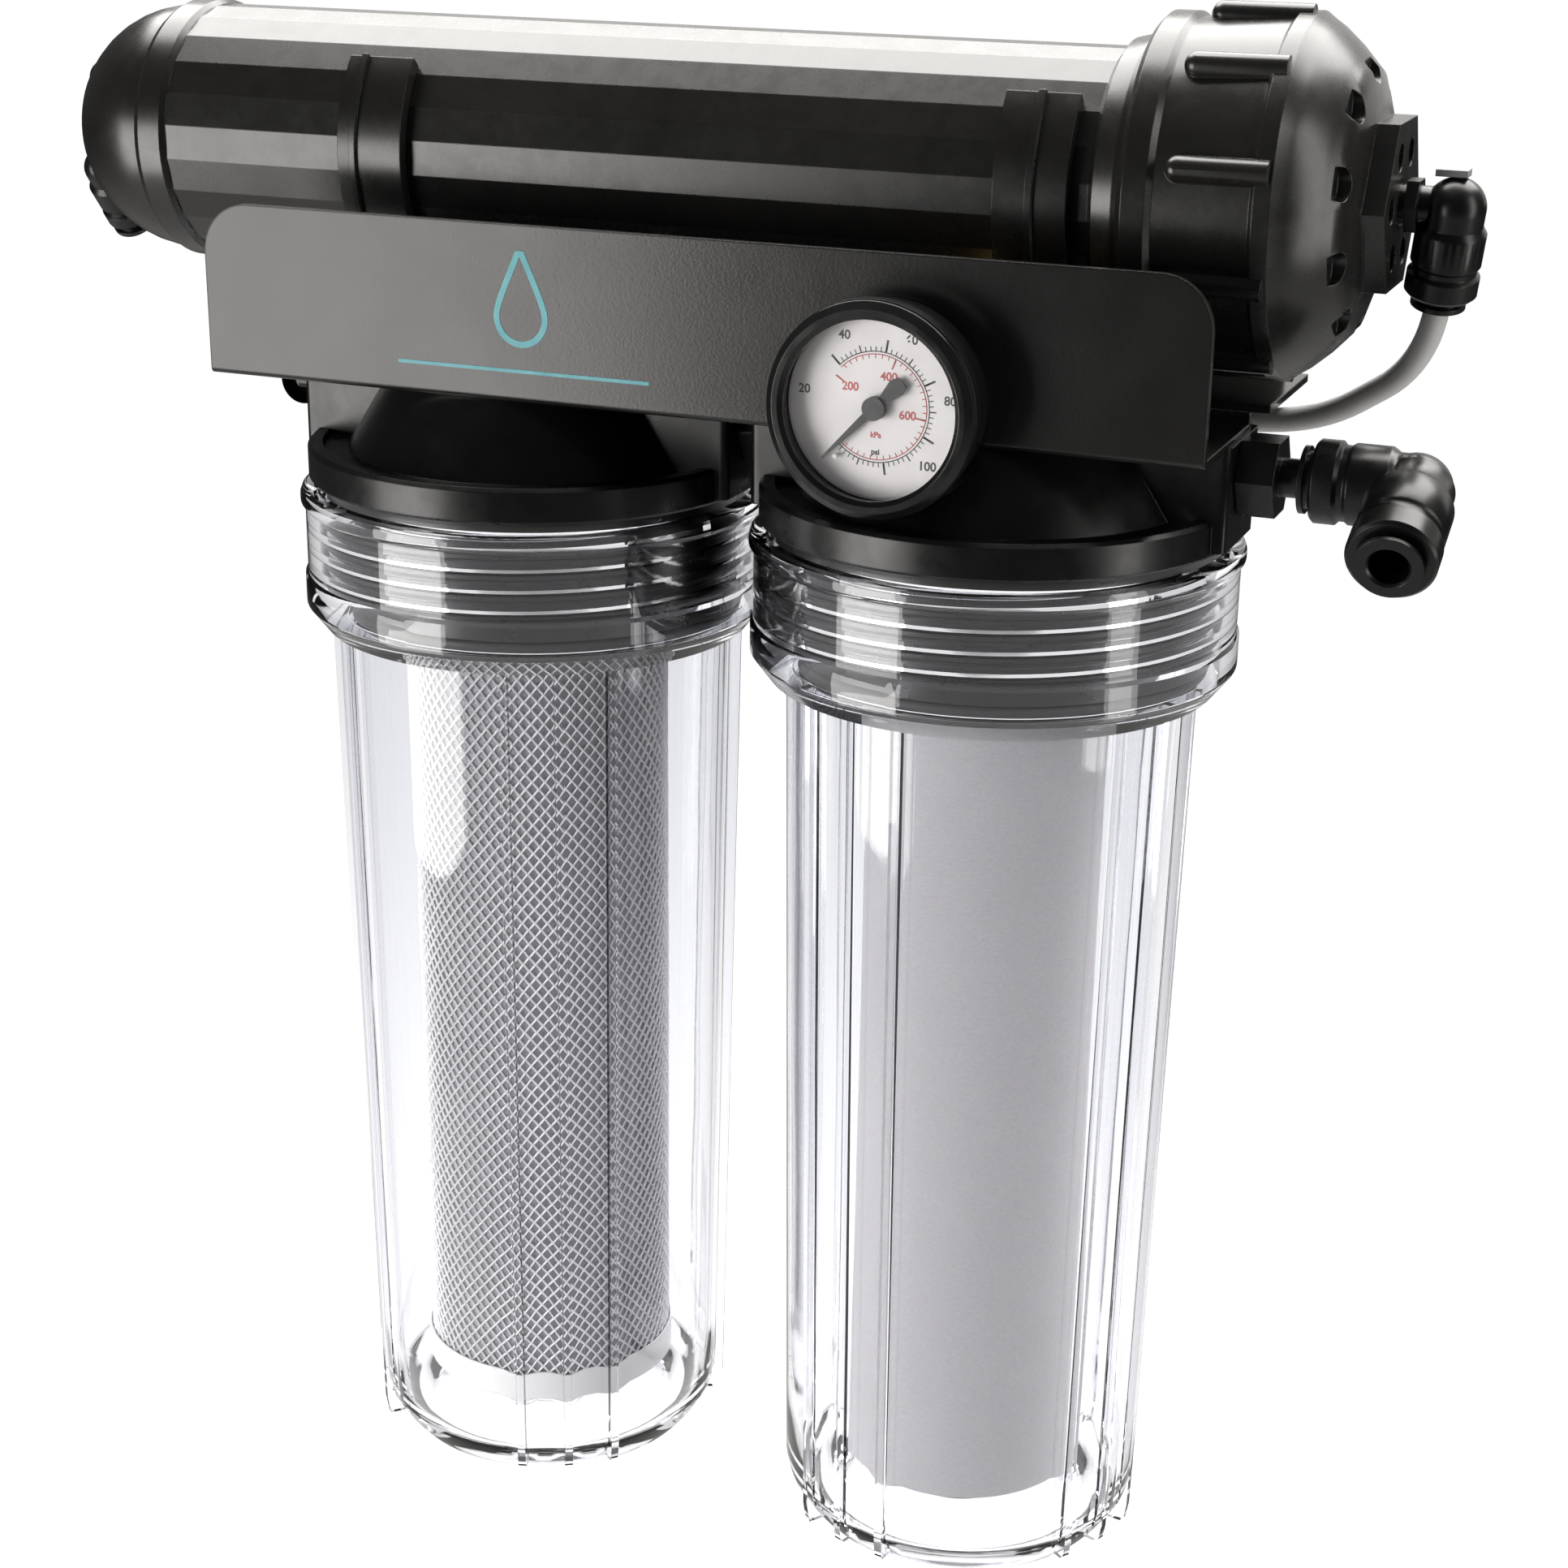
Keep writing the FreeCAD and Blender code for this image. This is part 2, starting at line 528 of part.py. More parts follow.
def gauge_movement():
    """Brass frame plates that carry the arbor, with the stem out of the back."""
    x = GAUGE_X
    z = GAUGE_Z
    front = block(x - 6.2, x + 6.2, -9.5, -8.7, z - 13, z + 4.5)
    back = block(x - 6.2, x + 6.2, -6.1, -5.0, z - 13, z + 4.5)
    posts = [cylinder(0.8, V(x + dx, -9.0, z + dz), V(x + dx, -5.5, z + dz))
             for dx, dz in ((-5.2, 3.4), (5.2, 3.4), (-5.2, -12.0), (5.2, -12.0))]
    stem = cylinder(QUARTER_HOLE, V(x, -5.05, z), V(x, STEM_END, z))
    flange = cylinder(8.0, V(x, -5.05, z), V(x, -3.0, z))
    plates = fuse([front, back, stem, flange] + posts)
    arbor_hole = cylinder(0.75 + RUNNING_GAP, V(x, -10, z), V(x, -4.0, z))
    sector_hole = cylinder(0.7 + RUNNING_GAP, V(x, -10, z - SECTOR_DROP), V(x, -4.6, z - SECTOR_DROP))
    water = cylinder(1.2, V(x, -1, z), V(x, STEM_END + 1, z))
    return plates.cut([arbor_hole, sector_hole, water])


def gauge_sector():
    """Sector arm that turns the pinion, on its own small arbor."""
    x = GAUGE_X
    z = GAUGE_Z - SECTOR_DROP
    arbor = cylinder(0.7, V(x, -9.3, z), V(x, -5.2, z))
    hub = cylinder(1.8, V(x, -8.1, z), V(x, -6.7, z))
    fan = cylinder(SECTOR_RADIUS - 0.1, V(x, -8.1, z), V(x, -6.7, z))
    far = 2 * SECTOR_RADIUS
    spread = math.radians(SECTOR_HALF_ANGLE)
    points = [V(x, -9, z), V(x - far * math.sin(spread), -9, z + far * math.cos(spread)),
              V(x + far * math.sin(spread), -9, z + far * math.cos(spread)), V(x, -9, z)]
    keep = Part.Face(Part.makePolygon(points)).extrude(V(0, 4, 0))
    arm = fan.common(keep)
    arm.rotate(V(x, 0, z), AXIS_Y, SECTOR_SWING / 2)
    return fuse([arm, hub, arbor])


def gauge_spring_tube():
    """Curved pressure tube with its closed free end near the sector."""
    ring = torus(17.0, 1.5, V(GAUGE_X, -6.6, GAUGE_Z), AXIS_Y)
    gap = block(GAUGE_X - 2.0, GAUGE_X + 22, -10, -3, GAUGE_Z - 22, GAUGE_Z - 1)
    foot = block(GAUGE_X - 4.0, GAUGE_X - 2.0, -8.1, -6.1, GAUGE_Z - 18, GAUGE_Z - 11.8)
    return fuse([ring.cut(gap), foot])


def gauge_elbow():
    """Brass elbow from the gauge stem down through the shelf to the head."""
    x = GAUGE_X
    y = HOUSING_Y
    z = GAUGE_Z
    across = cylinder(7.0, V(x, 6, z), V(x, y, z))
    corner = Part.makeSphere(7.0, V(x, y, z))
    down = cylinder(6.5, V(x, y, SHEET + 0.8), V(x, y, z))
    thread = cylinder(QUARTER_THREAD, V(x, y, -7), V(x, y, z))
    body = fuse([across, corner, down, thread])
    socket = cylinder(5.0, V(x, 5, z), V(x, STEM_END, z))
    ways = [cylinder(2.0, V(x, 19, z), V(x, y, z)), cylinder(2.0, V(x, y, -8), V(x, y, z))]
    trim = block(x - 9, x + 9, y - 9, y + 9, -0.0, SHEET + 0.8).cut(
        cylinder(QUARTER_THREAD, V(x, y, -1), V(x, y, SHEET + 1)))
    return body.cut([socket, trim] + ways)


# ---------------------------------------------------------------- membrane vessel

def on_vessel(profile):
    """Turn (radius, x) points about the vessel axis."""
    return lathe(profile, V(0, VESSEL_Y, VESSEL_Z), AXIS_X)


def arc_points(radius, centre, first, last, count):
    points = []
    for step in range(count + 1):
        angle = math.radians(first + (last - first) * step / count)
        points.append((radius * math.cos(angle), centre + radius * math.sin(angle)))
    return points


def vessel():
    """Faceted tube with a domed end, beaded ring, flare and male thread."""
    start = V(BEAD_RIGHT - 1, VESSEL_Y, VESSEL_Z)
    points = []
    for side in range(VESSEL_FACETS + 1):
        angle = math.radians(360.0 * side / VESSEL_FACETS + 7.5)
        points.append(V(start.x, VESSEL_Y + VESSEL_RADIUS * math.cos(angle),
                        VESSEL_Z + VESSEL_RADIUS * math.sin(angle)))
    tube = Part.Face(Part.makePolygon(points)).extrude(V(FLARE_LEFT - start.x + 1, 0, 0))
    dome_radius = VESSEL_RADIUS - 0.6
    dome = on_vessel(
        [(0, BEAD_RIGHT)] + [(VESSEL_RADIUS, BEAD_RIGHT), (VESSEL_RADIUS + 1.1, BEAD_RIGHT - 1.4),
                             (VESSEL_RADIUS + 1.1, BEAD_RIGHT - 8.0), (VESSEL_RADIUS, BEAD_RIGHT - 9.8)]
        + arc_points(dome_radius, DOME_CENTRE, 0, -90, 12)[:-1] + [(0, DOME_CENTRE - dome_radius)])
    flare = on_vessel([
        (0, FLARE_LEFT), (VESSEL_RADIUS, FLARE_LEFT), (VESSEL_RADIUS + 2.2, FLARE_LEFT + 1.5),
        (VESSEL_RADIUS + 3.4, CAP_LEFT - 1.5), (VESSEL_RADIUS + 3.4, CAP_LEFT + 0.4),
        (NECK_RADIUS, CAP_LEFT + 0.4), (NECK_RADIUS, NECK_END), (0, NECK_END)])
    body = fuse([tube, dome, flare])
    bosses = []
    for back, up in DOME_PORTS:
        bosses.append(cylinder(8.2, V(DOME_FACE, VESSEL_Y + back, VESSEL_Z + up),
                               V(DOME_CENTRE - 5, VESSEL_Y + back, VESSEL_Z + up)))
    body = body.fuse(bosses)
    floor = DOME_CENTRE - 11.0
    socket = CORE_RADIUS + RUNNING_GAP
    tools = [on_vessel([
        (0, CAP_RIM), (VESSEL_BORE, CAP_RIM), (VESSEL_BORE, DOME_CENTRE - 3), (VESSEL_BORE - 8, floor),
        (socket, floor), (socket, CORE_END - 3), (0, CORE_END - 3)])]
    for back, up in DOME_PORTS:
        tools.append(cylinder(QUARTER_HOLE, V(DOME_FACE - 1, VESSEL_Y + back, VESSEL_Z + up),
                              V(DOME_FACE + 8, VESSEL_Y + back, VESSEL_Z + up)))
        tools.append(cylinder(PORT_SEAT, V(DOME_FACE - 12, VESSEL_Y + back, VESSEL_Z + up),
                              V(DOME_FACE, VESSEL_Y + back, VESSEL_Z + up)))
    back, up = DOME_PORTS[0]
    tools.append(cylinder(1.8, V(DOME_FACE + 7, VESSEL_Y + back, VESSEL_Z + up),
                          V(CORE_END - 2, VESSEL_Y, VESSEL_Z)))
    back, up = DOME_PORTS[1]
    tools.append(cylinder(1.8, V(DOME_FACE + 7, VESSEL_Y + back, VESSEL_Z + up),
                          V(floor + 1, VESSEL_Y + back, VESSEL_Z + up)))
    body = body.cut(tools)
    ridge = helical_ridge(NECK_RADIUS, NECK_RADIUS + 1.5, 2.2, 1.1, CAP_PITCH, 3.0, 4.0)
    ridge.rotate(V(0, 0, 0), AXIS_Y, 90)
    ridge.translate(V(CAP_LEFT + 4, VESSEL_Y, VESSEL_Z))
    return body.fuse(ridge)


def vessel_cap():
    """Screw cap with raised grips, step ring, domed end and hex boss."""
    thread_bore = NECK_RADIUS + 2.1
    shoulder = NECK_END + 2 * CAP_SEAL_SECTION + 0.15
    body = on_vessel(
        [(thread_bore, CAP_LEFT + 0.9), (CAP_LEFT_RADIUS - 1.5, CAP_LEFT + 0.9), (CAP_LEFT_RADIUS,
                CAP_LEFT + 2.4),
         (CAP_LEFT_RADIUS, CAP_LEFT + 8), (CAP_LEFT_RADIUS - 1.2, CAP_LEFT + 9.5), (CAP_RADIUS - 1.2,
                 CAP_RIM - 5),
         (CAP_RADIUS, CAP_RIM - 4), (CAP_RADIUS, CAP_RIM), (CAP_RADIUS - 1.2, CAP_RIM + 1.6)]
        + [(CAP_RADIUS - 3.2, CAP_RIM + 4.6), (CAP_RADIUS - 7.0, CAP_RIM + 9.0), (CAP_RADIUS - 12.5,
                CAP_DOME),
           (HEX_CORNER - 0.5, CAP_DOME + 3.0), (0, CAP_DOME + 3.0),
           (0, CAP_DOME - 3.0), (VESSEL_BORE, CAP_DOME - 3.0), (VESSEL_BORE + 1, shoulder),
           (thread_bore, shoulder)])
    parts = []
    grip_height = CAP_RADIUS + GRIP_STANDS - GRIP_RADIUS
    grip_left = CAP_LEFT + 12 + GRIP_RADIUS
    grip_right = CAP_RIM - 1
    for side in range(10):
        bar = cylinder(GRIP_RADIUS, V(grip_left, 0, grip_height), V(grip_right, 0, grip_height))
        nose = Part.makeSphere(GRIP_RADIUS, V(grip_left, 0, grip_height))
        root = block(grip_left, grip_right, -GRIP_RADIUS, GRIP_RADIUS, grip_height - 2.5, grip_height)
        grip = fuse([bar, nose, root])
        grip.rotate(V(0, 0, 0), AXIS_X, 36 * side + 4)
        grip.translate(V(0, VESSEL_Y, VESSEL_Z))
        parts.append(grip)
    boss = hexagon(HEX_CORNER, V(CAP_DOME, VESSEL_Y, VESSEL_Z), V(HEX_FACE, VESSEL_Y, VESSEL_Z))
    parts.append(boss)
    body = body.fuse(parts)
    tools = [cylinder(QUARTER_HOLE, V(HEX_FACE - 12, VESSEL_Y, VESSEL_Z), V(HEX_FACE + 1, VESSEL_Y,
            VESSEL_Z))]
    for side in range(6):
        angle = math.radians(60 * side)
        y = VESSEL_Y + 13.5 * math.cos(angle)
        z = VESSEL_Z + 13.5 * math.sin(angle)
        tools.append(cylinder(3.4, V(HEX_FACE - 5, y, z), V(HEX_FACE + 1, y, z)))
    for side in range(10):
        angle = math.radians(36 * side + 22)
        radius = CAP_RADIUS - 12.0
        y = VESSEL_Y + radius * math.cos(angle)
        z = VESSEL_Z + radius * math.sin(angle)
        tools.append(cylinder(4.0, V(CAP_DOME - 2.2, y, z), V(CAP_DOME + 8, y, z)))
    body = body.cut(tools)
    ridge = helical_ridge(thread_bore, NECK_RADIUS + 0.5, 2.2, 1.1, CAP_PITCH, 2.4, 4.0 + CAP_PITCH / 2)
    ridge.rotate(V(0, 0, 0), AXIS_Y, 90)
    ridge.translate(V(CAP_LEFT + 4, VESSEL_Y, VESSEL_Z))
    return body.fuse(ridge)


def cap_seal():
    centre = V(NECK_END + CAP_SEAL_SECTION + 0.05, VESSEL_Y, VESSEL_Z)
    return torus(NECK_RADIUS - 2.5, CAP_SEAL_SECTION, centre, AXIS_X)


def membrane_pipe(outer, inner, left, right):
    return pipe(outer, inner, V(left, VESSEL_Y, VESSEL_Z), V(right, VESSEL_Y, VESSEL_Z))


def brine_seal():
    """Cup seal between the element and the vessel wall."""
    return on_vessel([
        (MEMBRANE_RADIUS + 0.02, 92), (VESSEL_BORE - 0.05, 94.5), (VESSEL_BORE - 0.05, 96),
                (MEMBRANE_RADIUS + 1.2, 93.6),
        (MEMBRANE_RADIUS + 1.2, 99), (MEMBRANE_RADIUS + 0.02, 99)])


def end_spider(left, right):
    """Open wheel that stops the rolled sheets from sliding."""
    wheel = membrane_pipe(MEMBRANE_RADIUS, MEMBRANE_RADIUS - 2.2, left, right)
    hub = membrane_pipe(11.0, CORE_RADIUS + 0.02, left, right)
    spokes = []
    for side in range(6):
        spoke = block(left, right, -1.2, 1.2, 10.0, MEMBRANE_RADIUS - 1.0)
        spoke.rotate(V(0, 0, 0), AXIS_X, 60 * side)
        spoke.translate(V(0, VESSEL_Y, VESSEL_Z))
        spokes.append(spoke)
    return fuse([wheel, hub] + spokes)


def core_seals():
    rings = []
    for x in CORE_SEALS:
        rings.append(torus(CORE_RADIUS - CORE_GROOVE, CORE_SEAL_SECTION, V(x, VESSEL_Y, VESSEL_Z), AXIS_X))
    return Part.makeCompound(rings)


def core_tube():
    """Perforated permeate tube down the middle of the element."""
    tube = membrane_pipe(CORE_RADIUS, 4.5, CORE_END, 112)
    tools = []
    for x in CORE_SEALS:
        groove = CORE_SEAL_SECTION + 0.08
        tools.append(torus(CORE_RADIUS - CORE_GROOVE, groove, V(x, VESSEL_Y, VESSEL_Z), AXIS_X))
    for row in range(9):
        x = -150 + row * 28
        tools.append(cylinder(1.6, V(x, VESSEL_Y, VESSEL_Z - 12), V(x, VESSEL_Y, VESSEL_Z + 12)))
    plug = cylinder(4.6, V(106, VESSEL_Y, VESSEL_Z), V(112, VESSEL_Y, VESSEL_Z))
    return tube.cut(tools).fuse(plug)


def clip(middle, seam):
    """Snap clip: open ring on a foot that is screwed to the shelf."""
    x0 = middle - CLIP_WIDTH / 2
    x1 = middle + CLIP_WIDTH / 2
    inner = VESSEL_RADIUS + 0.15
    outer = inner + CLIP_WALL
    ring = pipe(outer, inner, V(x0, VESSEL_Y, VESSEL_Z), V(x1, VESSEL_Y, VESSEL_Z))
    half = math.radians(CLIP_OPENING / 2)
    far = 2 * outer
    corner = [V(x0 - 1, VESSEL_Y, VESSEL_Z),
              V(x0 - 1, VESSEL_Y - far * math.sin(half), VESSEL_Z + far * math.cos(half)),
              V(x0 - 1, VESSEL_Y + far * math.sin(half), VESSEL_Z + far * math.cos(half)),
              V(x0 - 1, VESSEL_Y, VESSEL_Z)]
    mouth = Part.Face(Part.makePolygon(corner)).extrude(V(CLIP_WIDTH + 2, 0, 0))
    ring = ring.cut(mouth)
    foot = block(x0, x1, VESSEL_Y - 17, VESSEL_Y + 17, SHEET, SHEET + 5)
    web = block(x0, x1, VESSEL_Y - 7, VESSEL_Y + 7, SHEET + 4, VESSEL_Z - inner + 1)
    rib = pipe(outer + 1.0, inner + 1, V(seam - 0.9, VESSEL_Y, VESSEL_Z), V(seam + 0.9, VESSEL_Y, VESSEL_Z))
    rib = rib.cut(mouth)
    body = fuse([ring, foot, web, rib])
    hollow = cylinder(inner, V(x0 - 1, VESSEL_Y, VESSEL_Z), V(x1 + 1, VESSEL_Y, VESSEL_Z))
    tools = [hollow]
    for side in (-1, 1):
        y = VESSEL_Y + side * CLIP_SCREW_BACK
        tools.append(cylinder(CLIP_SCREW_RADIUS + 0.05, V(middle, y, SHEET - 1), V(middle, y, SHEET + 5.5)))
        tools.append(cylinder(4.4, V(middle, y, SHEET + CLIP_FOOT), V(middle, y, VESSEL_Z - VESSEL_RADIUS)))
    return body.cut(tools)


# ---------------------------------------------------------------- quick fittings

def barrel_profile(outer, tube, length):
    """Stepped outside of a push-fit barrel, from its root to its mouth."""
    return [(0, 0), (outer - 1.5, 0), (outer - 1.5, length * 0.18), (outer - 0.3, length * 0.26),
            (outer - 0.3, length * 0.62), (outer - 1.0, length * 0.66), (outer - 1.0, length * 0.72),
            (outer, length * 0.76), (outer, length - 0.8), (outer - 0.8, length), (0, length)]


def barrel_tools(tube, length, origin, direction):
    """Tube socket and collet bore of a push-fit barrel."""
    seat = length - SOCKET_DEPTH
    wide = tube + 2.3
    return lathe([(0, seat), (tube + RUNNING_GAP, seat), (tube + RUNNING_GAP, length - 9.0),
                  (wide, length - 9.0), (wide, length + 1), (0, length + 1)], origin, direction)


def collet(tube, length, origin, direction):
    """Release collet: sleeve in the barrel, with a flange in front of its mouth."""
    wide = tube + 2.3
    return lathe([
        (tube + RUNNING_GAP, length - 7.0), (wide - RUNNING_GAP, length - 7.0), (wide - RUNNING_GAP,
                length + 1.7),
        (wide + 1.2, length + 1.7), (wide + 1.2, length + 3.0), (tube + 0.7, length + 3.0),
        (tube + RUNNING_GAP, length + 2.3)], origin, direction)


def stem_elbow(origin, stem_way, barrel_way, stem_reach, thread_length, outer, length):
    """Threaded quarter-inch elbow: stem one way, push-fit barrel the other."""
    neck = QUARTER_THREAD
    end = origin.add(V(stem_way).multiply(stem_reach))
    thread_start = origin.add(V(stem_way).multiply(stem_reach - thread_length))
    hex_start = origin.add(V(stem_way).multiply(stem_reach - thread_length - 3.4))
    body = [
        cylinder(neck, origin, end),
        hexagon(7.0, hex_start, thread_start.sub(V(stem_way).multiply(0.4))),
        Part.makeSphere(outer - 1.5, origin),
        lathe(barrel_profile(outer, TUBE_QUARTER, length), origin, barrel_way),
    ]
    solid = fuse(body)
    tools = [
        cylinder(2.0, origin, end.add(stem_way)),
        cylinder(2.0, origin, origin.add(V(barrel_way).multiply(length - 10))),
        barrel_tools(TUBE_QUARTER, length, origin, barrel_way),
    ]
    return solid.cut(tools)


def inlet_adapter():
    """Hex adapter: thread in the head, plain stem for the swivel elbow."""
    y = HOUSING_Y
    face = RIGHT_X + PORT_HALF_LENGTH
    thread = cylinder(PORT_RADIUS - THREAD_GAP, V(face - PORT_DEPTH + 2, y, PORT_AXIS), V(face + 1, y,
            PORT_AXIS))
    nut = hexagon(10.6, V(face + 0.3, y, PORT_AXIS), V(face + 9.5, y, PORT_AXIS))
    stem_end = INLET_CORNER - INLET_STEM_SIDE + SOCKET_DEPTH - 0.3
    stem = cylinder(TUBE_THREE_EIGHTHS, V(face + 9, y, PORT_AXIS), V(stem_end, y, PORT_AXIS))
    bore = cylinder(3.0, V(face - PORT_DEPTH, y, PORT_AXIS), V(INLET_CORNER, y, PORT_AXIS))
    return fuse([thread, nut, stem]).cut(bore)


def inlet_ways():
    tilt = math.radians(INLET_TILT)
    return V(-1, 0, 0), V(0, -math.cos(tilt), -math.sin(tilt))


def inlet_elbow():
    """Union elbow that swivels on the adapter's stem."""
    origin = V(INLET_CORNER, HOUSING_Y, PORT_AXIS)
    stem_way, mouth_way = inlet_ways()
    tube = TUBE_THREE_EIGHTHS
    body = fuse([
        Part.makeSphere(9.0, origin),
        lathe(barrel_profile(10.2, tube, INLET_STEM_SIDE), origin, stem_way),
        lathe(barrel_profile(11.0, tube, INLET_MOUTH_SIDE), origin, mouth_way),
    ])
    tools = [
        cylinder(3.2, origin, origin.add(V(stem_way).multiply(10))),
        cylinder(3.2, origin, origin.add(V(mouth_way).multiply(16))),
        barrel_tools(tube, INLET_STEM_SIDE, origin, stem_way),
        barrel_tools(tube, INLET_MOUTH_SIDE, origin, mouth_way),
    ]
    return body.cut(tools)


def feed_tab():
    """Small grey locking clip on top of the feed elbow."""
    x = FEED_CORNER
    z = VESSEL_Z
    return block(x - 5.0, x + 2.6, VESSEL_Y - 3.0, VESSEL_Y + 3.0, z + 7.4, z + 9.0)


def tube_route():
    """Bend points of the feed tube, from the left outlet to the feed elbow."""
    mouth = V(OUTLET_CORNER, HOUSING_Y, PORT_AXIS).add(V(outlet_way()).multiply(OUTLET_LENGTH - 14))
    finish = V(FEED_CORNER, VESSEL_Y, VESSEL_Z).add(V(feed_way()).multiply(FEED_LENGTH - 14))
    last = finish.add(V(feed_way()).multiply(33))
    return [mouth,
            V(mouth.x, 75.5, PORT_AXIS),
            V(mouth.x + 21, 96.0, PORT_AXIS - 0.3),
            V(-60, 96.5, PORT_AXIS + 0.4),
            V(10, 95.0, PORT_AXIS - 0.5),
            V(70, 96.5, PORT_AXIS + 0.6),
            V(112, 95.5, PORT_AXIS + 0.6),
            V(last.x - 28, 90.0, PORT_AXIS + 4.0),
            last, finish]


def bent_tube(route, outer, inner):
    """Straight runs joined by tangent arcs."""
    edges = []
    start = route[0]
    for index in range(1, len(route) - 1):
        before = route[index].sub(route[index - 1])
        after = route[index + 1].sub(route[index])
        turn = before.getAngle(after)
        shorter = min(before.Length, after.Length)
        cut = 0.45 * shorter
        radius = cut / math.tan(turn / 2)
        way_in = V(before).normalize()
        way_out = V(after).normalize()
        bend_in = route[index].sub(V(way_in).multiply(cut))
        bend_out = route[index].add(V(way_out).multiply(cut))
        inward = V(way_out).sub(way_in).normalize()
        middle = route[index].add(V(inward).multiply(radius / math.cos(turn / 2) - radius))
        print("bend", index, round(before.Length, 1), round(math.degrees(turn), 1), round(radius, 1))
        edges.append(Part.LineSegment(start, bend_in).toShape())
        edges.append(Part.Arc(bend_in, middle, bend_out).toShape())
        start = bend_out
    edges.append(Part.LineSegment(start, route[-1]).toShape())
    path = Part.Wire(edges)
    way = route[1].sub(route[0])
    solids = []
    for radius in (outer, inner):
        ring = Part.Wire(Part.makeCircle(radius, route[0], way))
        solids.append(path.makePipeShell([ring], True, True))
    print("tube", round(path.Length, 1), round(solids[0].Volume / (math.pi * outer * outer), 1))
    return solids[0].cut(solids[1])


def outlet_way():
    return V(0, 1, 0)


def drain_way():
    tilt = math.radians(40)
    return V(0, math.sin(tilt), -math.cos(tilt))


def feed_way():
    tilt = math.radians(14)
    return V(-0.12, math.sin(tilt), -math.cos(tilt)).normalize()


LEFT_X = HOUSING_MID_X - HOUSING_SPACING / 2
RIGHT_X = HOUSING_MID_X + HOUSING_SPACING / 2
MEMBRANE_RADIUS = VESSEL_BORE - 2.0
CORE_RADIUS = 8.6
CORE_END = -192.0
CORE_SEALS = (-190.0, -187.0)
CORE_GROOVE = 0.9
CORE_SEAL_SECTION = CORE_GROOVE + RUNNING_GAP - 0.02
DOME_PORTS = [(10.0, 10.0), (6.0, -14.0)]
DOME_FACE = -203.8
PORT_SEAT = 7.7
DOME_CORNER = -211.2
DOME_BARREL = 19.0
DOME_FITTING = 7.1
DOME_THREAD = 6.5
INLET_CORNER = 175.2
INLET_STEM_SIDE = 24.0
INLET_MOUTH_SIDE = 29.0
OUTLET_CORNER = LEFT_X - PORT_HALF_LENGTH - 9.6
OUTLET_LENGTH = 20.0
FEED_CORNER = 174.7
FEED_LENGTH = 22.0


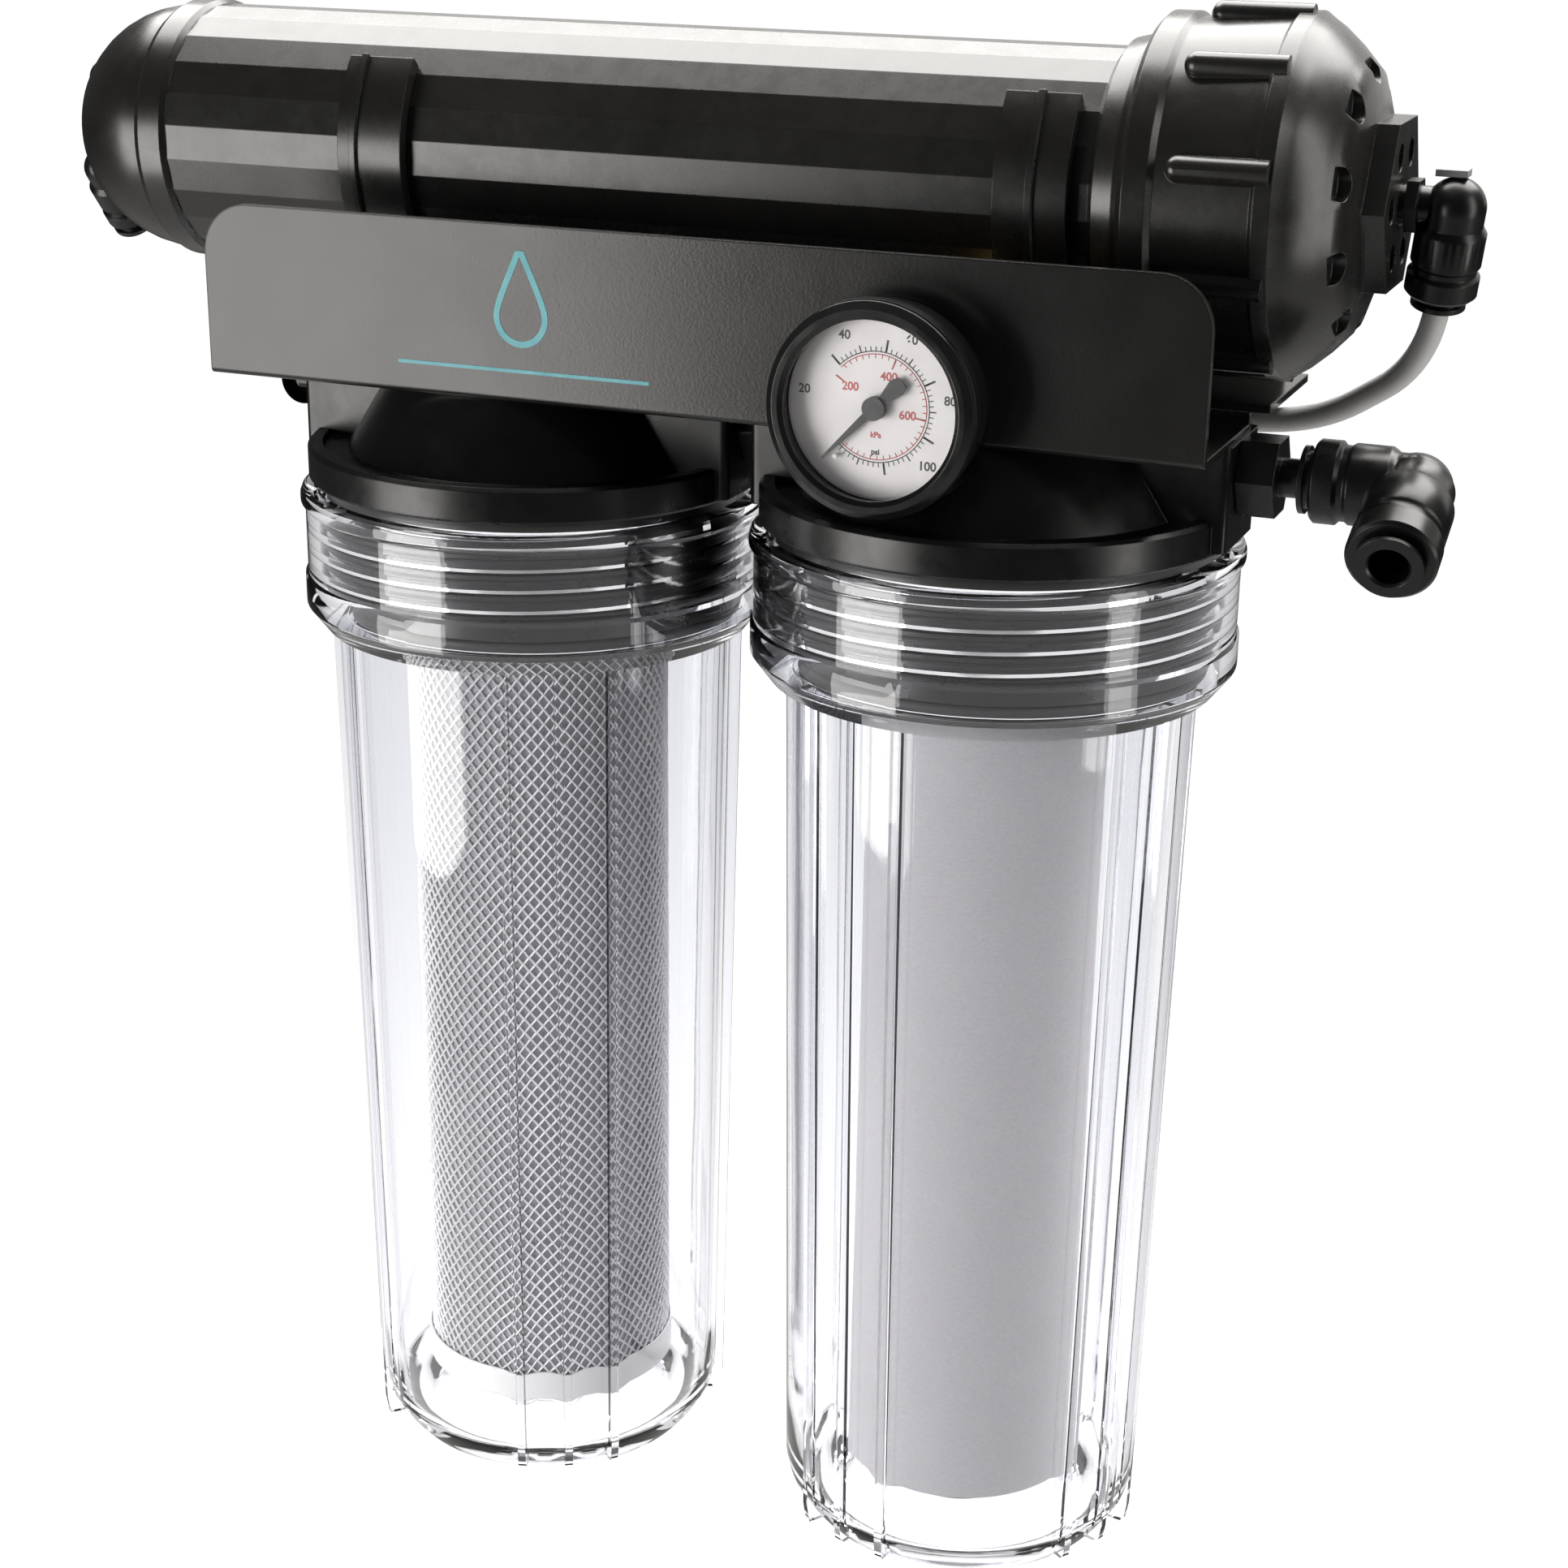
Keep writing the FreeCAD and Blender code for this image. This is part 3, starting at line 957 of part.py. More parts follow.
def build():
    save(bracket(), "bracket")
    save(screw_set(head_screw_places(), SHEET, HEAD_SCREW_LENGTH, HEAD_SCREW_RADIUS, PAN_HEAD_RADIUS),
            "head_screws")
    save(screw_set(clip_screw_places(), SHEET + CLIP_FOOT, CLIP_SCREW_LENGTH, CLIP_SCREW_RADIUS, 3.6),
            "clip_screws")
    save(housing_head(LEFT_X, False), "head_left")
    save(housing_head(RIGHT_X, True), "head_right")
    save(housing_bowl(LEFT_X, -58.5), "bowl_left")
    save(housing_bowl(RIGHT_X, -21.8), "bowl_right")
    save(bowl_seal(LEFT_X), "bowl_seal_left")
    save(bowl_seal(RIGHT_X), "bowl_seal_right")
    save(housing_nipple(), "housing_nipple")
    save(cartridge_pipe(RIGHT_X, SEDIMENT_RADIUS, CARTRIDGE_BORE, 0.0, 0.0), "sediment_filter")
    save(sediment_core(), "sediment_core")
    save(cartridge_pipe(LEFT_X, CARBON_RADIUS, CARTRIDGE_BORE, 5.2, 5.2), "carbon_block")
    save(cartridge_pipe(LEFT_X, CARBON_RADIUS + 1.2, CARBON_RADIUS + 0.02, 5.3, 5.3), "carbon_netting")
    save(carbon_cap(CARTRIDGE_TOP, V(0, 0, -1)), "carbon_cap_top")
    save(carbon_cap(CARTRIDGE_TOP - CARTRIDGE_LENGTH, AXIS_Z), "carbon_cap_bottom")
    save(carbon_gaskets(), "carbon_gaskets")
    save(gauge_case(), "gauge_case")
    save(gauge_bezel(), "gauge_bezel")
    save(gauge_lens(), "gauge_lens")
    save(gauge_dial(), "gauge_dial")
    save(gauge_pointer(), "gauge_pointer")
    save(gauge_movement(), "gauge_movement")
    save(gauge_sector(), "gauge_sector")
    save(gauge_spring_tube(), "gauge_spring_tube")
    save(gauge_elbow(), "gauge_elbow")
    save(vessel(), "vessel")
    save(vessel_cap(), "vessel_cap")
    save(cap_seal(), "cap_seal")
    save(membrane_pipe(MEMBRANE_RADIUS, CORE_RADIUS + 0.02, -170, 92), "membrane_roll")
    save(core_tube(), "membrane_core")
    save(core_seals(), "core_seals")
    save(end_spider(-174, -170), "membrane_end_left")
    save(end_spider(99.02, 103), "membrane_end_right")
    save(brine_seal(), "brine_seal")
    save(clip(CLIP_LEFT_X, CLIP_LEFT_X - 4.5), "clip_left")
    save(clip(CLIP_RIGHT_X, CLIP_RIGHT_X), "clip_right")
    save(inlet_adapter(), "inlet_adapter")
    save(inlet_elbow(), "inlet_elbow")
    origin = V(INLET_CORNER, HOUSING_Y, PORT_AXIS)
    stem_way, mouth_way = inlet_ways()
    save(collet(TUBE_THREE_EIGHTHS, INLET_STEM_SIDE, origin, stem_way), "inlet_stem_collet")
    save(collet(TUBE_THREE_EIGHTHS, INLET_MOUTH_SIDE, origin, mouth_way), "inlet_collet")
    outlet = V(OUTLET_CORNER, HOUSING_Y, PORT_AXIS)
    save(stem_elbow(outlet, AXIS_X, outlet_way(), 20.0, 10.0, 8.0, OUTLET_LENGTH), "outlet_elbow")
    save(collet(TUBE_QUARTER, OUTLET_LENGTH, outlet, outlet_way()), "outlet_collet")
    feed = V(FEED_CORNER, VESSEL_Y, VESSEL_Z)
    feed_reach = FEED_CORNER - HEX_FACE + 8.0
    save(stem_elbow(feed, V(-1, 0, 0), feed_way(), feed_reach, 9.0, 8.8, FEED_LENGTH), "feed_elbow")
    save(collet(TUBE_QUARTER, FEED_LENGTH, feed, feed_way()), "feed_collet")
    save(feed_tab(), "feed_tab")
    names = ("permeate", "drain")
    for (back, up), name in zip(DOME_PORTS, names):
        corner = V(DOME_CORNER, VESSEL_Y + back, VESSEL_Z + up)
        way = AXIS_Y if name == "permeate" else drain_way()
        reach = DOME_FACE - DOME_CORNER + DOME_THREAD
        elbow = stem_elbow(corner, AXIS_X, way, reach, DOME_THREAD, DOME_FITTING, DOME_BARREL)
        save(elbow, name + "_elbow")
        save(collet(TUBE_QUARTER, DOME_BARREL, corner, way), name + "_collet")
    save(bent_tube(tube_route(), TUBE_QUARTER, 2.1), "feed_tube")


build()
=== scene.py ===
import json
import math
import bpy
from mathutils import Matrix, Vector


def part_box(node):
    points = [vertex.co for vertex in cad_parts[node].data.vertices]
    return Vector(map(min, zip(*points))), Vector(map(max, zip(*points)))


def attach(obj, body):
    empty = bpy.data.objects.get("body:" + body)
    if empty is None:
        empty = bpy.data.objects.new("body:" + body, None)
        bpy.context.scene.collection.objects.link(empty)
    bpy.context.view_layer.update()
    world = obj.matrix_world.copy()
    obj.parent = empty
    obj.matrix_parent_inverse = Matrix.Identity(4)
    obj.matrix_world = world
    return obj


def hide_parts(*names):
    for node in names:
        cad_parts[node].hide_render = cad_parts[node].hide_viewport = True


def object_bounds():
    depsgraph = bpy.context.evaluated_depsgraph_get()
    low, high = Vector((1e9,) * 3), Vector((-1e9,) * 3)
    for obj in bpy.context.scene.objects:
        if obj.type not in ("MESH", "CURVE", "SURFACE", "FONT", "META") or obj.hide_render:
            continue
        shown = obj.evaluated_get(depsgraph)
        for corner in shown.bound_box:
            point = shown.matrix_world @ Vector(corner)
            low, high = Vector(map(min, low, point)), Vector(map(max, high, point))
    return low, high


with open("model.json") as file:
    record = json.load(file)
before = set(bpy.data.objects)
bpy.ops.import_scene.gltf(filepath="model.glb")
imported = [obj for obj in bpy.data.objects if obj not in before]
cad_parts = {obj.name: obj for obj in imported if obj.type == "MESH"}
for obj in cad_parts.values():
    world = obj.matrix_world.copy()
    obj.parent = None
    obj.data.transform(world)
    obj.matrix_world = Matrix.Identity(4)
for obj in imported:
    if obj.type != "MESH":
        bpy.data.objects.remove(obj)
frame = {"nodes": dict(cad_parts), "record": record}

cadBox = [list(corner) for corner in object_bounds()]
nodes = frame["nodes"]
mm = 0.001
print("frame loaded:", len(nodes), "nodes")


# small helpers

def clearSelection():
    if bpy.context.object and bpy.context.object.mode != "OBJECT":
        bpy.ops.object.mode_set(mode="OBJECT")
    bpy.ops.object.select_all(action="DESELECT")


def pick(*pieces):
    clearSelection()
    for piece in pieces:
        piece.select_set(True)
    bpy.context.view_layer.objects.active = pieces[0]


def nameIt(name):
    piece = bpy.context.object
    piece.name = name
    piece.data.name = name
    return piece


def bake(piece):
    # place, turn and size go into the mesh, so the object sits at the origin
    pick(piece)
    bpy.ops.object.transform_apply(location=True, rotation=True, scale=True)


def applyModifier(piece, kind, **settings):
    pick(piece)
    modifier = piece.modifiers.new(kind.title(), kind)
    for key, value in settings.items():
        setattr(modifier, key, value)
    bpy.ops.object.modifier_apply(modifier=modifier.name)


def joinAll(pieces, name):
    pick(*pieces)
    if len(pieces) > 1:
        bpy.ops.object.join()
    return nameIt(name)


def smooth(piece, degrees):
    pick(piece)
    bpy.ops.object.shade_smooth_by_angle(angle=math.radians(degrees))


fullTurn = 360.0


def turnRound(piece, copies, centre, axis=(0, 0, 1), sweep=fullTurn):
    # edit-mode copies about an axis; a full turn leaves out the last, which would lie on the first
    pick(piece)
    steps = copies - 1
    angle = sweep * steps / copies if sweep == fullTurn else sweep
    bpy.ops.object.mode_set(mode="EDIT")
    bpy.ops.mesh.select_all(action="SELECT")
    bpy.ops.mesh.spin(steps=steps, dupli=True, angle=math.radians(angle), center=centre, axis=axis)
    bpy.ops.object.mode_set(mode="OBJECT")


def middle(node):
    low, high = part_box(node)
    return (low + high) / 2


# camera

cameraSetup = {
    "place": (0.27765, -0.74226, 0.11185), "azimuth": 21.603, "elevation": 20.601, "roll": 0.783,
    "lens": 64.70, "sensor": 36, "shiftX": 0.0036, "shiftY": 0.0347, "nearest": 0.02, "farthest": 60,
}

clearSelection()
bpy.ops.object.camera_add(location=cameraSetup["place"])
camera = nameIt("viewCamera")
aim = (Matrix.Rotation(math.radians(cameraSetup["azimuth"]), 4, "Z")
       @ Matrix.Rotation(math.radians(90 - cameraSetup["elevation"]), 4, "X")
       @ Matrix.Rotation(math.radians(cameraSetup["roll"]), 4, "Z"))
camera.rotation_euler = aim.to_euler()
camera.data.sensor_width = cameraSetup["sensor"]
camera.data.lens = cameraSetup["lens"]
camera.data.shift_x = cameraSetup["shiftX"]
camera.data.shift_y = cameraSetup["shiftY"]
camera.data.clip_start = cameraSetup["nearest"]
camera.data.clip_end = cameraSetup["farthest"]
bpy.context.scene.camera = camera
print("camera placed")


# material helpers

def newMaterial(name):
    material = bpy.data.materials.new(name)
    material.use_nodes = True
    tree = material.node_tree
    shader = tree.nodes["Principled BSDF"]
    place = tree.nodes.new("ShaderNodeTexCoord").outputs["Object"]
    return material, tree, shader, place


def noise(tree, place, scale, detail=3.0, rough=0.5, stretch=None):
    if stretch:
        mapping = tree.nodes.new("ShaderNodeMapping")
        mapping.inputs["Scale"].default_value = stretch
        tree.links.new(place, mapping.inputs["Vector"])
        place = mapping.outputs["Vector"]
    texture = tree.nodes.new("ShaderNodeTexNoise")
    texture.inputs["Scale"].default_value = scale
    texture.inputs["Detail"].default_value = detail
    texture.inputs["Roughness"].default_value = rough
    tree.links.new(place, texture.inputs["Vector"])
    return texture.outputs["Fac"]


def colourRamp(tree, factor, stops):
    ramp = tree.nodes.new("ShaderNodeValToRGB")
    while len(ramp.color_ramp.elements) < len(stops):
        ramp.color_ramp.elements.new(0.5)
    for element, (spot, colour) in zip(ramp.color_ramp.elements, stops):
        element.position = spot
        element.color = (*colour, 1)
    tree.links.new(factor, ramp.inputs["Fac"])
    return ramp.outputs["Color"]


def spread(tree, factor, low, high, fromLow=0.3, fromHigh=0.7):
    ranger = tree.nodes.new("ShaderNodeMapRange")
    ranger.inputs["From Min"].default_value = fromLow
    ranger.inputs["From Max"].default_value = fromHigh
    ranger.inputs["To Min"].default_value = low
    ranger.inputs["To Max"].default_value = high
    tree.links.new(factor, ranger.inputs["Value"])
    return ranger.outputs["Result"]


def bump(tree, height, depth, strength=1.0, under=None):
    node = tree.nodes.new("ShaderNodeBump")
    node.inputs["Strength"].default_value = strength
    node.inputs["Distance"].default_value = depth
    tree.links.new(height, node.inputs["Height"])
    if under is not None:
        tree.links.new(under, node.inputs["Normal"])
    return node.outputs["Normal"]


def softEdge(tree, radius):
    node = tree.nodes.new("ShaderNodeBevel")
    node.samples = 4
    node.inputs["Radius"].default_value = radius
    return node.outputs["Normal"]


def mouldedPlastic(name, dark, light, gloss, matt, edge=0.4 * mm, level=0.5):
    # injection-moulded plastic: faint cloudiness, uneven gloss, fine grain and worn-soft edges
    material, tree, shader, place = newMaterial(name)
    cloud = noise(tree, place, scale=22, detail=4, rough=0.55)
    tree.links.new(colourRamp(tree, cloud, [(0.32, dark), (0.68, light)]), shader.inputs["Base Color"])
    handling = noise(tree, place, scale=140, detail=5, rough=0.65)
    tree.links.new(spread(tree, handling, gloss, matt), shader.inputs["Roughness"])
    grain = noise(tree, place, scale=2600, detail=2)
    grained = bump(tree, grain, depth=0.01 * mm, strength=0.6, under=softEdge(tree, edge))
    tree.links.new(grained, shader.inputs["Normal"])
    shader.inputs["Specular IOR Level"].default_value = level
    return material


def mottledSkin(name, dark, light, gloss, matt, metallic):
    # a thin skin on a smooth face: mottled tone, uneven gloss and a faint texture
    material, tree, shader, place = newMaterial(name)
    mottle = noise(tree, place, scale=120, detail=4, rough=0.6)
    tree.links.new(colourRamp(tree, mottle, [(0.3, dark), (0.7, light)]), shader.inputs["Base Color"])
    wear = noise(tree, place, scale=320)
    tree.links.new(spread(tree, wear, gloss, matt), shader.inputs["Roughness"])
    texture = noise(tree, place, scale=900, rough=0.6)
    tree.links.new(bump(tree, texture, depth=0.01 * mm), shader.inputs["Normal"])
    shader.inputs["Metallic"].default_value = metallic
    return material


def bareMetal(name, dark, light, gloss, matt):
    return mottledSkin(name, dark, light, gloss, matt, metallic=1.0)


def printedPaint(name, dark, light, gloss, matt):
    return mottledSkin(name, dark, light, gloss, matt, metallic=0.0)


def powderCoat(name):
    # black powder coat with orange peel and a few dull rub marks
    material, tree, shader, place = newMaterial(name)
    cloud = noise(tree, place, scale=18)
    tree.links.new(colourRamp(tree, cloud, [(0.3, (0.013, 0.0125, 0.0122)), (0.7, (0.017, 0.0164, 0.016))]),
                   shader.inputs["Base Color"])
    rubs = noise(tree, place, scale=45, detail=5, rough=0.6)
    tree.links.new(spread(tree, rubs, 0.2, 0.25), shader.inputs["Roughness"])
    peel = noise(tree, place, scale=1400, detail=2, rough=0.4)
    peeled = bump(tree, peel, depth=0.03 * mm, strength=0.6, under=softEdge(tree, 0.7 * mm))
    tree.links.new(peeled, shader.inputs["Normal"])
    shader.inputs["Specular IOR Level"].default_value = 0.48
    shader.inputs["Coat Weight"].default_value = 0.05
    shader.inputs["Coat Roughness"].default_value = 0.12
    return material


def clearPlastic(name, tint, gloss, matt, flow):
    # clear moulded plastic with slow flow waves and hairline handling marks
    material, tree, shader, place = newMaterial(name)
    marks = noise(tree, place, scale=260, detail=6, rough=0.75, stretch=(1.0, 1.0, 0.25))
    tree.links.new(spread(tree, marks, gloss, matt, fromLow=0.45, fromHigh=0.8), shader.inputs["Roughness"])
    waves = noise(tree, place, scale=flow, detail=2, rough=0.4, stretch=(1.0, 1.0, 0.35))
    tree.links.new(bump(tree, waves, depth=0.6 * mm, strength=0.35), shader.inputs["Normal"])
    shader.inputs["Base Color"].default_value = (*tint, 1)
    shader.inputs["Transmission Weight"].default_value = 1.0
    shader.inputs["IOR"].default_value = 1.47
    clearWay = tree.nodes.new("ShaderNodeBsdfTransparent")      # lamps shine through to what is inside
    clearWay.inputs["Color"].default_value = (0.93, 0.93, 0.95, 1)
    lampsThrough = tree.nodes.new("ShaderNodeMixShader")
    tree.links.new(tree.nodes.new("ShaderNodeLightPath").outputs["Is Shadow Ray"], lampsThrough.inputs["Fac"])
    tree.links.new(shader.outputs["BSDF"], lampsThrough.inputs[1])
    tree.links.new(clearWay.outputs["BSDF"], lampsThrough.inputs[2])
    tree.links.new(lampsThrough.outputs["Shader"], tree.nodes["Material Output"].inputs["Surface"])
    return material


def spunFibre(name):
    # blown polypropylene: white with a soft fibrous surface
    material, tree, shader, place = newMaterial(name)
    fibre = noise(tree, place, scale=900, detail=8, rough=0.7, stretch=(1.0, 1.0, 2.2))
    lumps = noise(tree, place, scale=90, detail=4, rough=0.6)
    tree.links.new(colourRamp(tree, fibre, [(0.3, (0.40, 0.40, 0.41)), (0.7, (0.50, 0.50, 0.51))]),
                   shader.inputs["Base Color"])
    soft = bump(tree, lumps, depth=0.5 * mm, strength=0.4)
    tree.links.new(bump(tree, fibre, depth=0.25 * mm, strength=0.7, under=soft), shader.inputs["Normal"])
    tree.links.new(spread(tree, lumps, 0.72, 0.92), shader.inputs["Roughness"])
    shader.inputs["Sheen Weight"].default_value = 0.25
    shader.inputs["Subsurface Weight"].default_value = 0.15
    shader.inputs["Subsurface Scale"].default_value = 0.003
    return material


def carbonBlock(name):
    # pressed carbon grains, dull and rough
    material, tree, shader, place = newMaterial(name)
    grit = noise(tree, place, scale=1500, detail=6, rough=0.75)
    tree.links.new(colourRamp(tree, grit, [(0.3, (0.20, 0.20, 0.21)), (0.72, (0.42, 0.42, 0.44))]),
                   shader.inputs["Base Color"])
    tree.links.new(bump(tree, grit, depth=0.3 * mm, strength=0.8), shader.inputs["Normal"])
    tree.links.new(spread(tree, grit, 0.6, 0.9), shader.inputs["Roughness"])
    return material


finishes = {
    "bracket": powderCoat("blackPowderCoat"),
    "zinc_screw": bareMetal("zincPlate", (0.50, 0.50, 0.48), (0.66, 0.66, 0.63), 0.24, 0.42),
    "black_plastic": mouldedPlastic("blackPlastic", (0.0032, 0.003, 0.003), (0.0055, 0.0052, 0.0052),
                                    0.25, 0.36),
    "clear_bowl": clearPlastic("clearBowl", (0.945, 0.95, 0.975), 0.015, 0.08, flow=30),
    "rubber_seal": mouldedPlastic("sealRubber", (0.012, 0.012, 0.012), (0.02, 0.02, 0.02), 0.45, 0.7),
    "spun_filter": spunFibre("spunFibre"),
    "white_plastic": mouldedPlastic("whitePlastic", (0.78, 0.78, 0.76), (0.86, 0.86, 0.84), 0.35, 0.5),
    "carbon": carbonBlock("carbonBlock"),
    "netting": mouldedPlastic("netPlastic", (0.86, 0.86, 0.87), (0.92, 0.92, 0.92), 0.4, 0.55,
                              edge=0.1 * mm),
    "gauge_black": mouldedPlastic("gaugeBlack", (0.008, 0.008, 0.008), (0.012, 0.012, 0.012), 0.16, 0.26),
    "gauge_window": clearPlastic("gaugeWindow", (0.99, 0.99, 0.99), 0.01, 0.05, flow=8),
    "dial_white": printedPaint("dialWhite", (0.78, 0.76, 0.75), (0.84, 0.82, 0.81), 0.45, 0.6),
    "pointer_black": printedPaint("pointerBlack", (0.008, 0.008, 0.008), (0.014, 0.014, 0.014), 0.4, 0.55),
    "brass": bareMetal("turnedBrass", (0.62, 0.44, 0.18), (0.78, 0.58, 0.27), 0.2, 0.36),
    "vessel_plastic": mouldedPlastic("vesselPlastic", (0.010, 0.0094, 0.0088), (0.015, 0.0142, 0.0134),
                                     0.24, 0.31, level=0.7),
    "membrane": mouldedPlastic("membraneTape", (0.72, 0.73, 0.70), (0.80, 0.81, 0.78), 0.4, 0.55),
    "grey_plastic": mouldedPlastic("greyPlastic", (0.30, 0.31, 0.32), (0.38, 0.39, 0.40), 0.35, 0.5),
    "white_tube": mouldedPlastic("whiteTube", (0.80, 0.80, 0.79), (0.87, 0.87, 0.86), 0.28, 0.4),
}

slotOf = {entry["node"]: entry["material_slot"] for entry in frame["record"]["subparts"]}
creases = {"round": 34, "flatTube": 11, "weld": 0.002 * mm}      # the vessel's long flats show
pick(*nodes.values())
bpy.ops.object.shade_smooth()
for node, piece in nodes.items():
    piece.data.materials.clear()
    piece.data.materials.append(finishes[slotOf[node]])
    weld = piece.modifiers.new("Weld", "WELD")
    weld.merge_threshold = creases["weld"]
    crease = piece.modifiers.new("Creases", "EDGE_SPLIT")
    crease.split_angle = math.radians(creases["flatTube" if node == "vessel" else "round"])


def finish(piece, slot, body, *standsFor, material=None):
    piece.data.materials.clear()
    piece.data.materials.append(material or finishes[slot])
    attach(piece, body)
    if standsFor:
        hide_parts(*standsFor)
    return piece


print("finishes made:", len(finishes))


# netting round the carbon cartridge

netting = {"strands": 64, "thread": 0.46 * mm, "sides": 4, "turns": 0.92, "steps": 44, "lift": 0.55 * mm,
           "crease": 60}


def layStrands(name, turns):
    low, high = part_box("carbon_block")
    centre = middle("carbon_block")
    radius = (high.x - low.x) / 2 + netting["lift"]
    clearSelection()
    bpy.ops.mesh.primitive_circle_add(vertices=netting["sides"], radius=netting["thread"],
                                      location=(radius, 0, 0), rotation=(math.radians(90), 0, 0))
    strand = nameIt(name)
    bake(strand)
    applyModifier(strand, "SCREW", angle=math.radians(fullTurn * turns), screw_offset=high.z - low.z,
                  steps=netting["steps"], render_steps=netting["steps"], use_merge_vertices=False)
    bpy.ops.object.mode_set(mode="EDIT")
    bpy.ops.mesh.select_all(action="SELECT")
    bpy.ops.mesh.fill_holes(sides=netting["sides"])      # the strand's two ends
    bpy.ops.mesh.select_all(action="SELECT")
    bpy.ops.mesh.normals_make_consistent(inside=False)
    bpy.ops.object.mode_set(mode="OBJECT")
    turnRound(strand, netting["strands"], (0, 0, 0))
    strand.location = (centre.x, centre.y, low.z)
    bake(strand)
    return strand


net = joinAll([layStrands("netRight", netting["turns"]), layStrands("netLeft", -netting["turns"])],
              "diamondNetting")
smooth(net, netting["crease"])
finish(net, "netting", "left_bowl", "carbon_netting")
print("netting laid:", len(net.data.polygons), "faces")


# printing on the gauge dial

dialPrint = {"radius": 21.4 * mm, "plate": 0.8 * mm, "ink": 0.05 * mm, "bold": 0.07 * mm, "start": 225.0,
             "sweep": 270.0, "arcParts": 181, "arcPart": 0.42 * mm, "unitSize": 1.9 * mm, "unitAngle": 270}

# a ring is (marks, share of the dial's radius, length, width), and an arc is (share, width)
blackDial = {"full": 100, "last": 100, "figures": (20, 40, 60, 80, 100), "figureShare": 0.86,
             "figureSize": 3.0 * mm, "unit": "psi", "unitShare": 0.5, "arc": (0.615, 0.24 * mm),
             "rings": ((50, 0.645, 1.0 * mm, 0.22 * mm), (10, 0.66, 1.5 * mm, 0.3 * mm),
                       (5, 0.69, 2.8 * mm, 0.5 * mm))}
redDial = {"full": 689, "last": 680, "figures": (200, 400, 600), "figureShare": 0.37,
           "figureSize": 2.8 * mm, "unit": "kPa", "unitShare": 0.31, "arc": (0.585, 0.22 * mm),
           "rings": ((34, 0.56, 0.9 * mm, 0.22 * mm),), "longMark": (0.52, 2.4 * mm, 0.4 * mm)}

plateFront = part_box("gauge_dial")[1].y - dialPrint["plate"]      # the stop pin stands in front of the plate
lensMiddle = middle("gauge_lens")
dialCentre = Vector((lensMiddle.x, 0, lensMiddle.z))
inkFront = plateFront - dialPrint["ink"]


def onDial(share, degrees):
    reach = share * dialPrint["radius"]
    return (dialCentre.x + reach * math.cos(math.radians(degrees)), inkFront + dialPrint["ink"] / 2,
            dialCentre.z + reach * math.sin(math.radians(degrees)))


def markAt(share, length, width, degrees):
    clearSelection()
    bpy.ops.mesh.primitive_cube_add(size=1, location=onDial(share, degrees),
                                    rotation=(0, -math.radians(degrees), 0))
    mark = bpy.context.object
    mark.scale = (length, dialPrint["ink"], width)
    bake(mark)
    return mark


def scaleMarks(divisions, share, length, width, span):
    mark = markAt(share, length, width, dialPrint["start"])
    turnRound(mark, divisions + 1, (dialCentre.x, inkFront, dialCentre.z), (0, 1, 0), span)
    return mark


def arcLine(share, width):
    line = markAt(share, width, dialPrint["arcPart"], dialPrint["start"])
    turnRound(line, dialPrint["arcParts"], (dialCentre.x, inkFront, dialCentre.z), (0, 1, 0),
              dialPrint["sweep"])
    return line


def figure(text, share, degrees, size):
    clearSelection()
    spot = onDial(share, degrees)
    bpy.ops.object.text_add(location=(spot[0], inkFront + dialPrint["ink"], spot[2]),
                            rotation=(math.radians(90), 0, 0))
    word = bpy.context.object
    word.data.body = text
    word.data.size = size
    word.data.align_x = "CENTER"
    word.data.align_y = "CENTER"
    word.data.extrude = dialPrint["ink"] / 2
    word.data.offset = dialPrint["bold"]
    bpy.ops.object.convert(target="MESH")
    bake(bpy.context.object)
    return bpy.context.object


def printScale(scale, name):
    span = dialPrint["sweep"] * scale["last"] / scale["full"]
    marks = [scaleMarks(*ring, span) for ring in scale["rings"]]
    marks.append(arcLine(*scale["arc"]))
    for value in scale["figures"]:
        degrees = dialPrint["start"] - dialPrint["sweep"] * value / scale["full"]
        if "longMark" in scale:
            marks.append(markAt(*scale["longMark"], degrees))
        marks.append(figure(str(value), scale["figureShare"], degrees, scale["figureSize"]))
    marks.append(figure(scale["unit"], scale["unitShare"], dialPrint["unitAngle"], dialPrint["unitSize"]))
    return joinAll(marks, name)


finish(printScale(blackDial, "blackScale"), "pointer_black", "bracket")
redInk = printedPaint("redInk", (0.42, 0.07, 0.06), (0.5, 0.1, 0.09), 0.45, 0.6)
finish(printScale(redDial, "redScale"), "dial_white", "bracket", material=redInk)
print("dial printed")


# plain drop mark printed on the panel

dropMark = {"x": -42 * mm, "z": -14.5 * mm, "ink": 0.12 * mm, "drop": 7.5 * mm, "points": 40,
            "line": 1.6 * mm, "tip": 9.0 * mm, "tipBand": 0.1 * mm, "tipReach": 1.15,
            "ruleLength": 70 * mm, "ruleHeight": 0.9 * mm, "ruleDrop": 13.5 * mm}


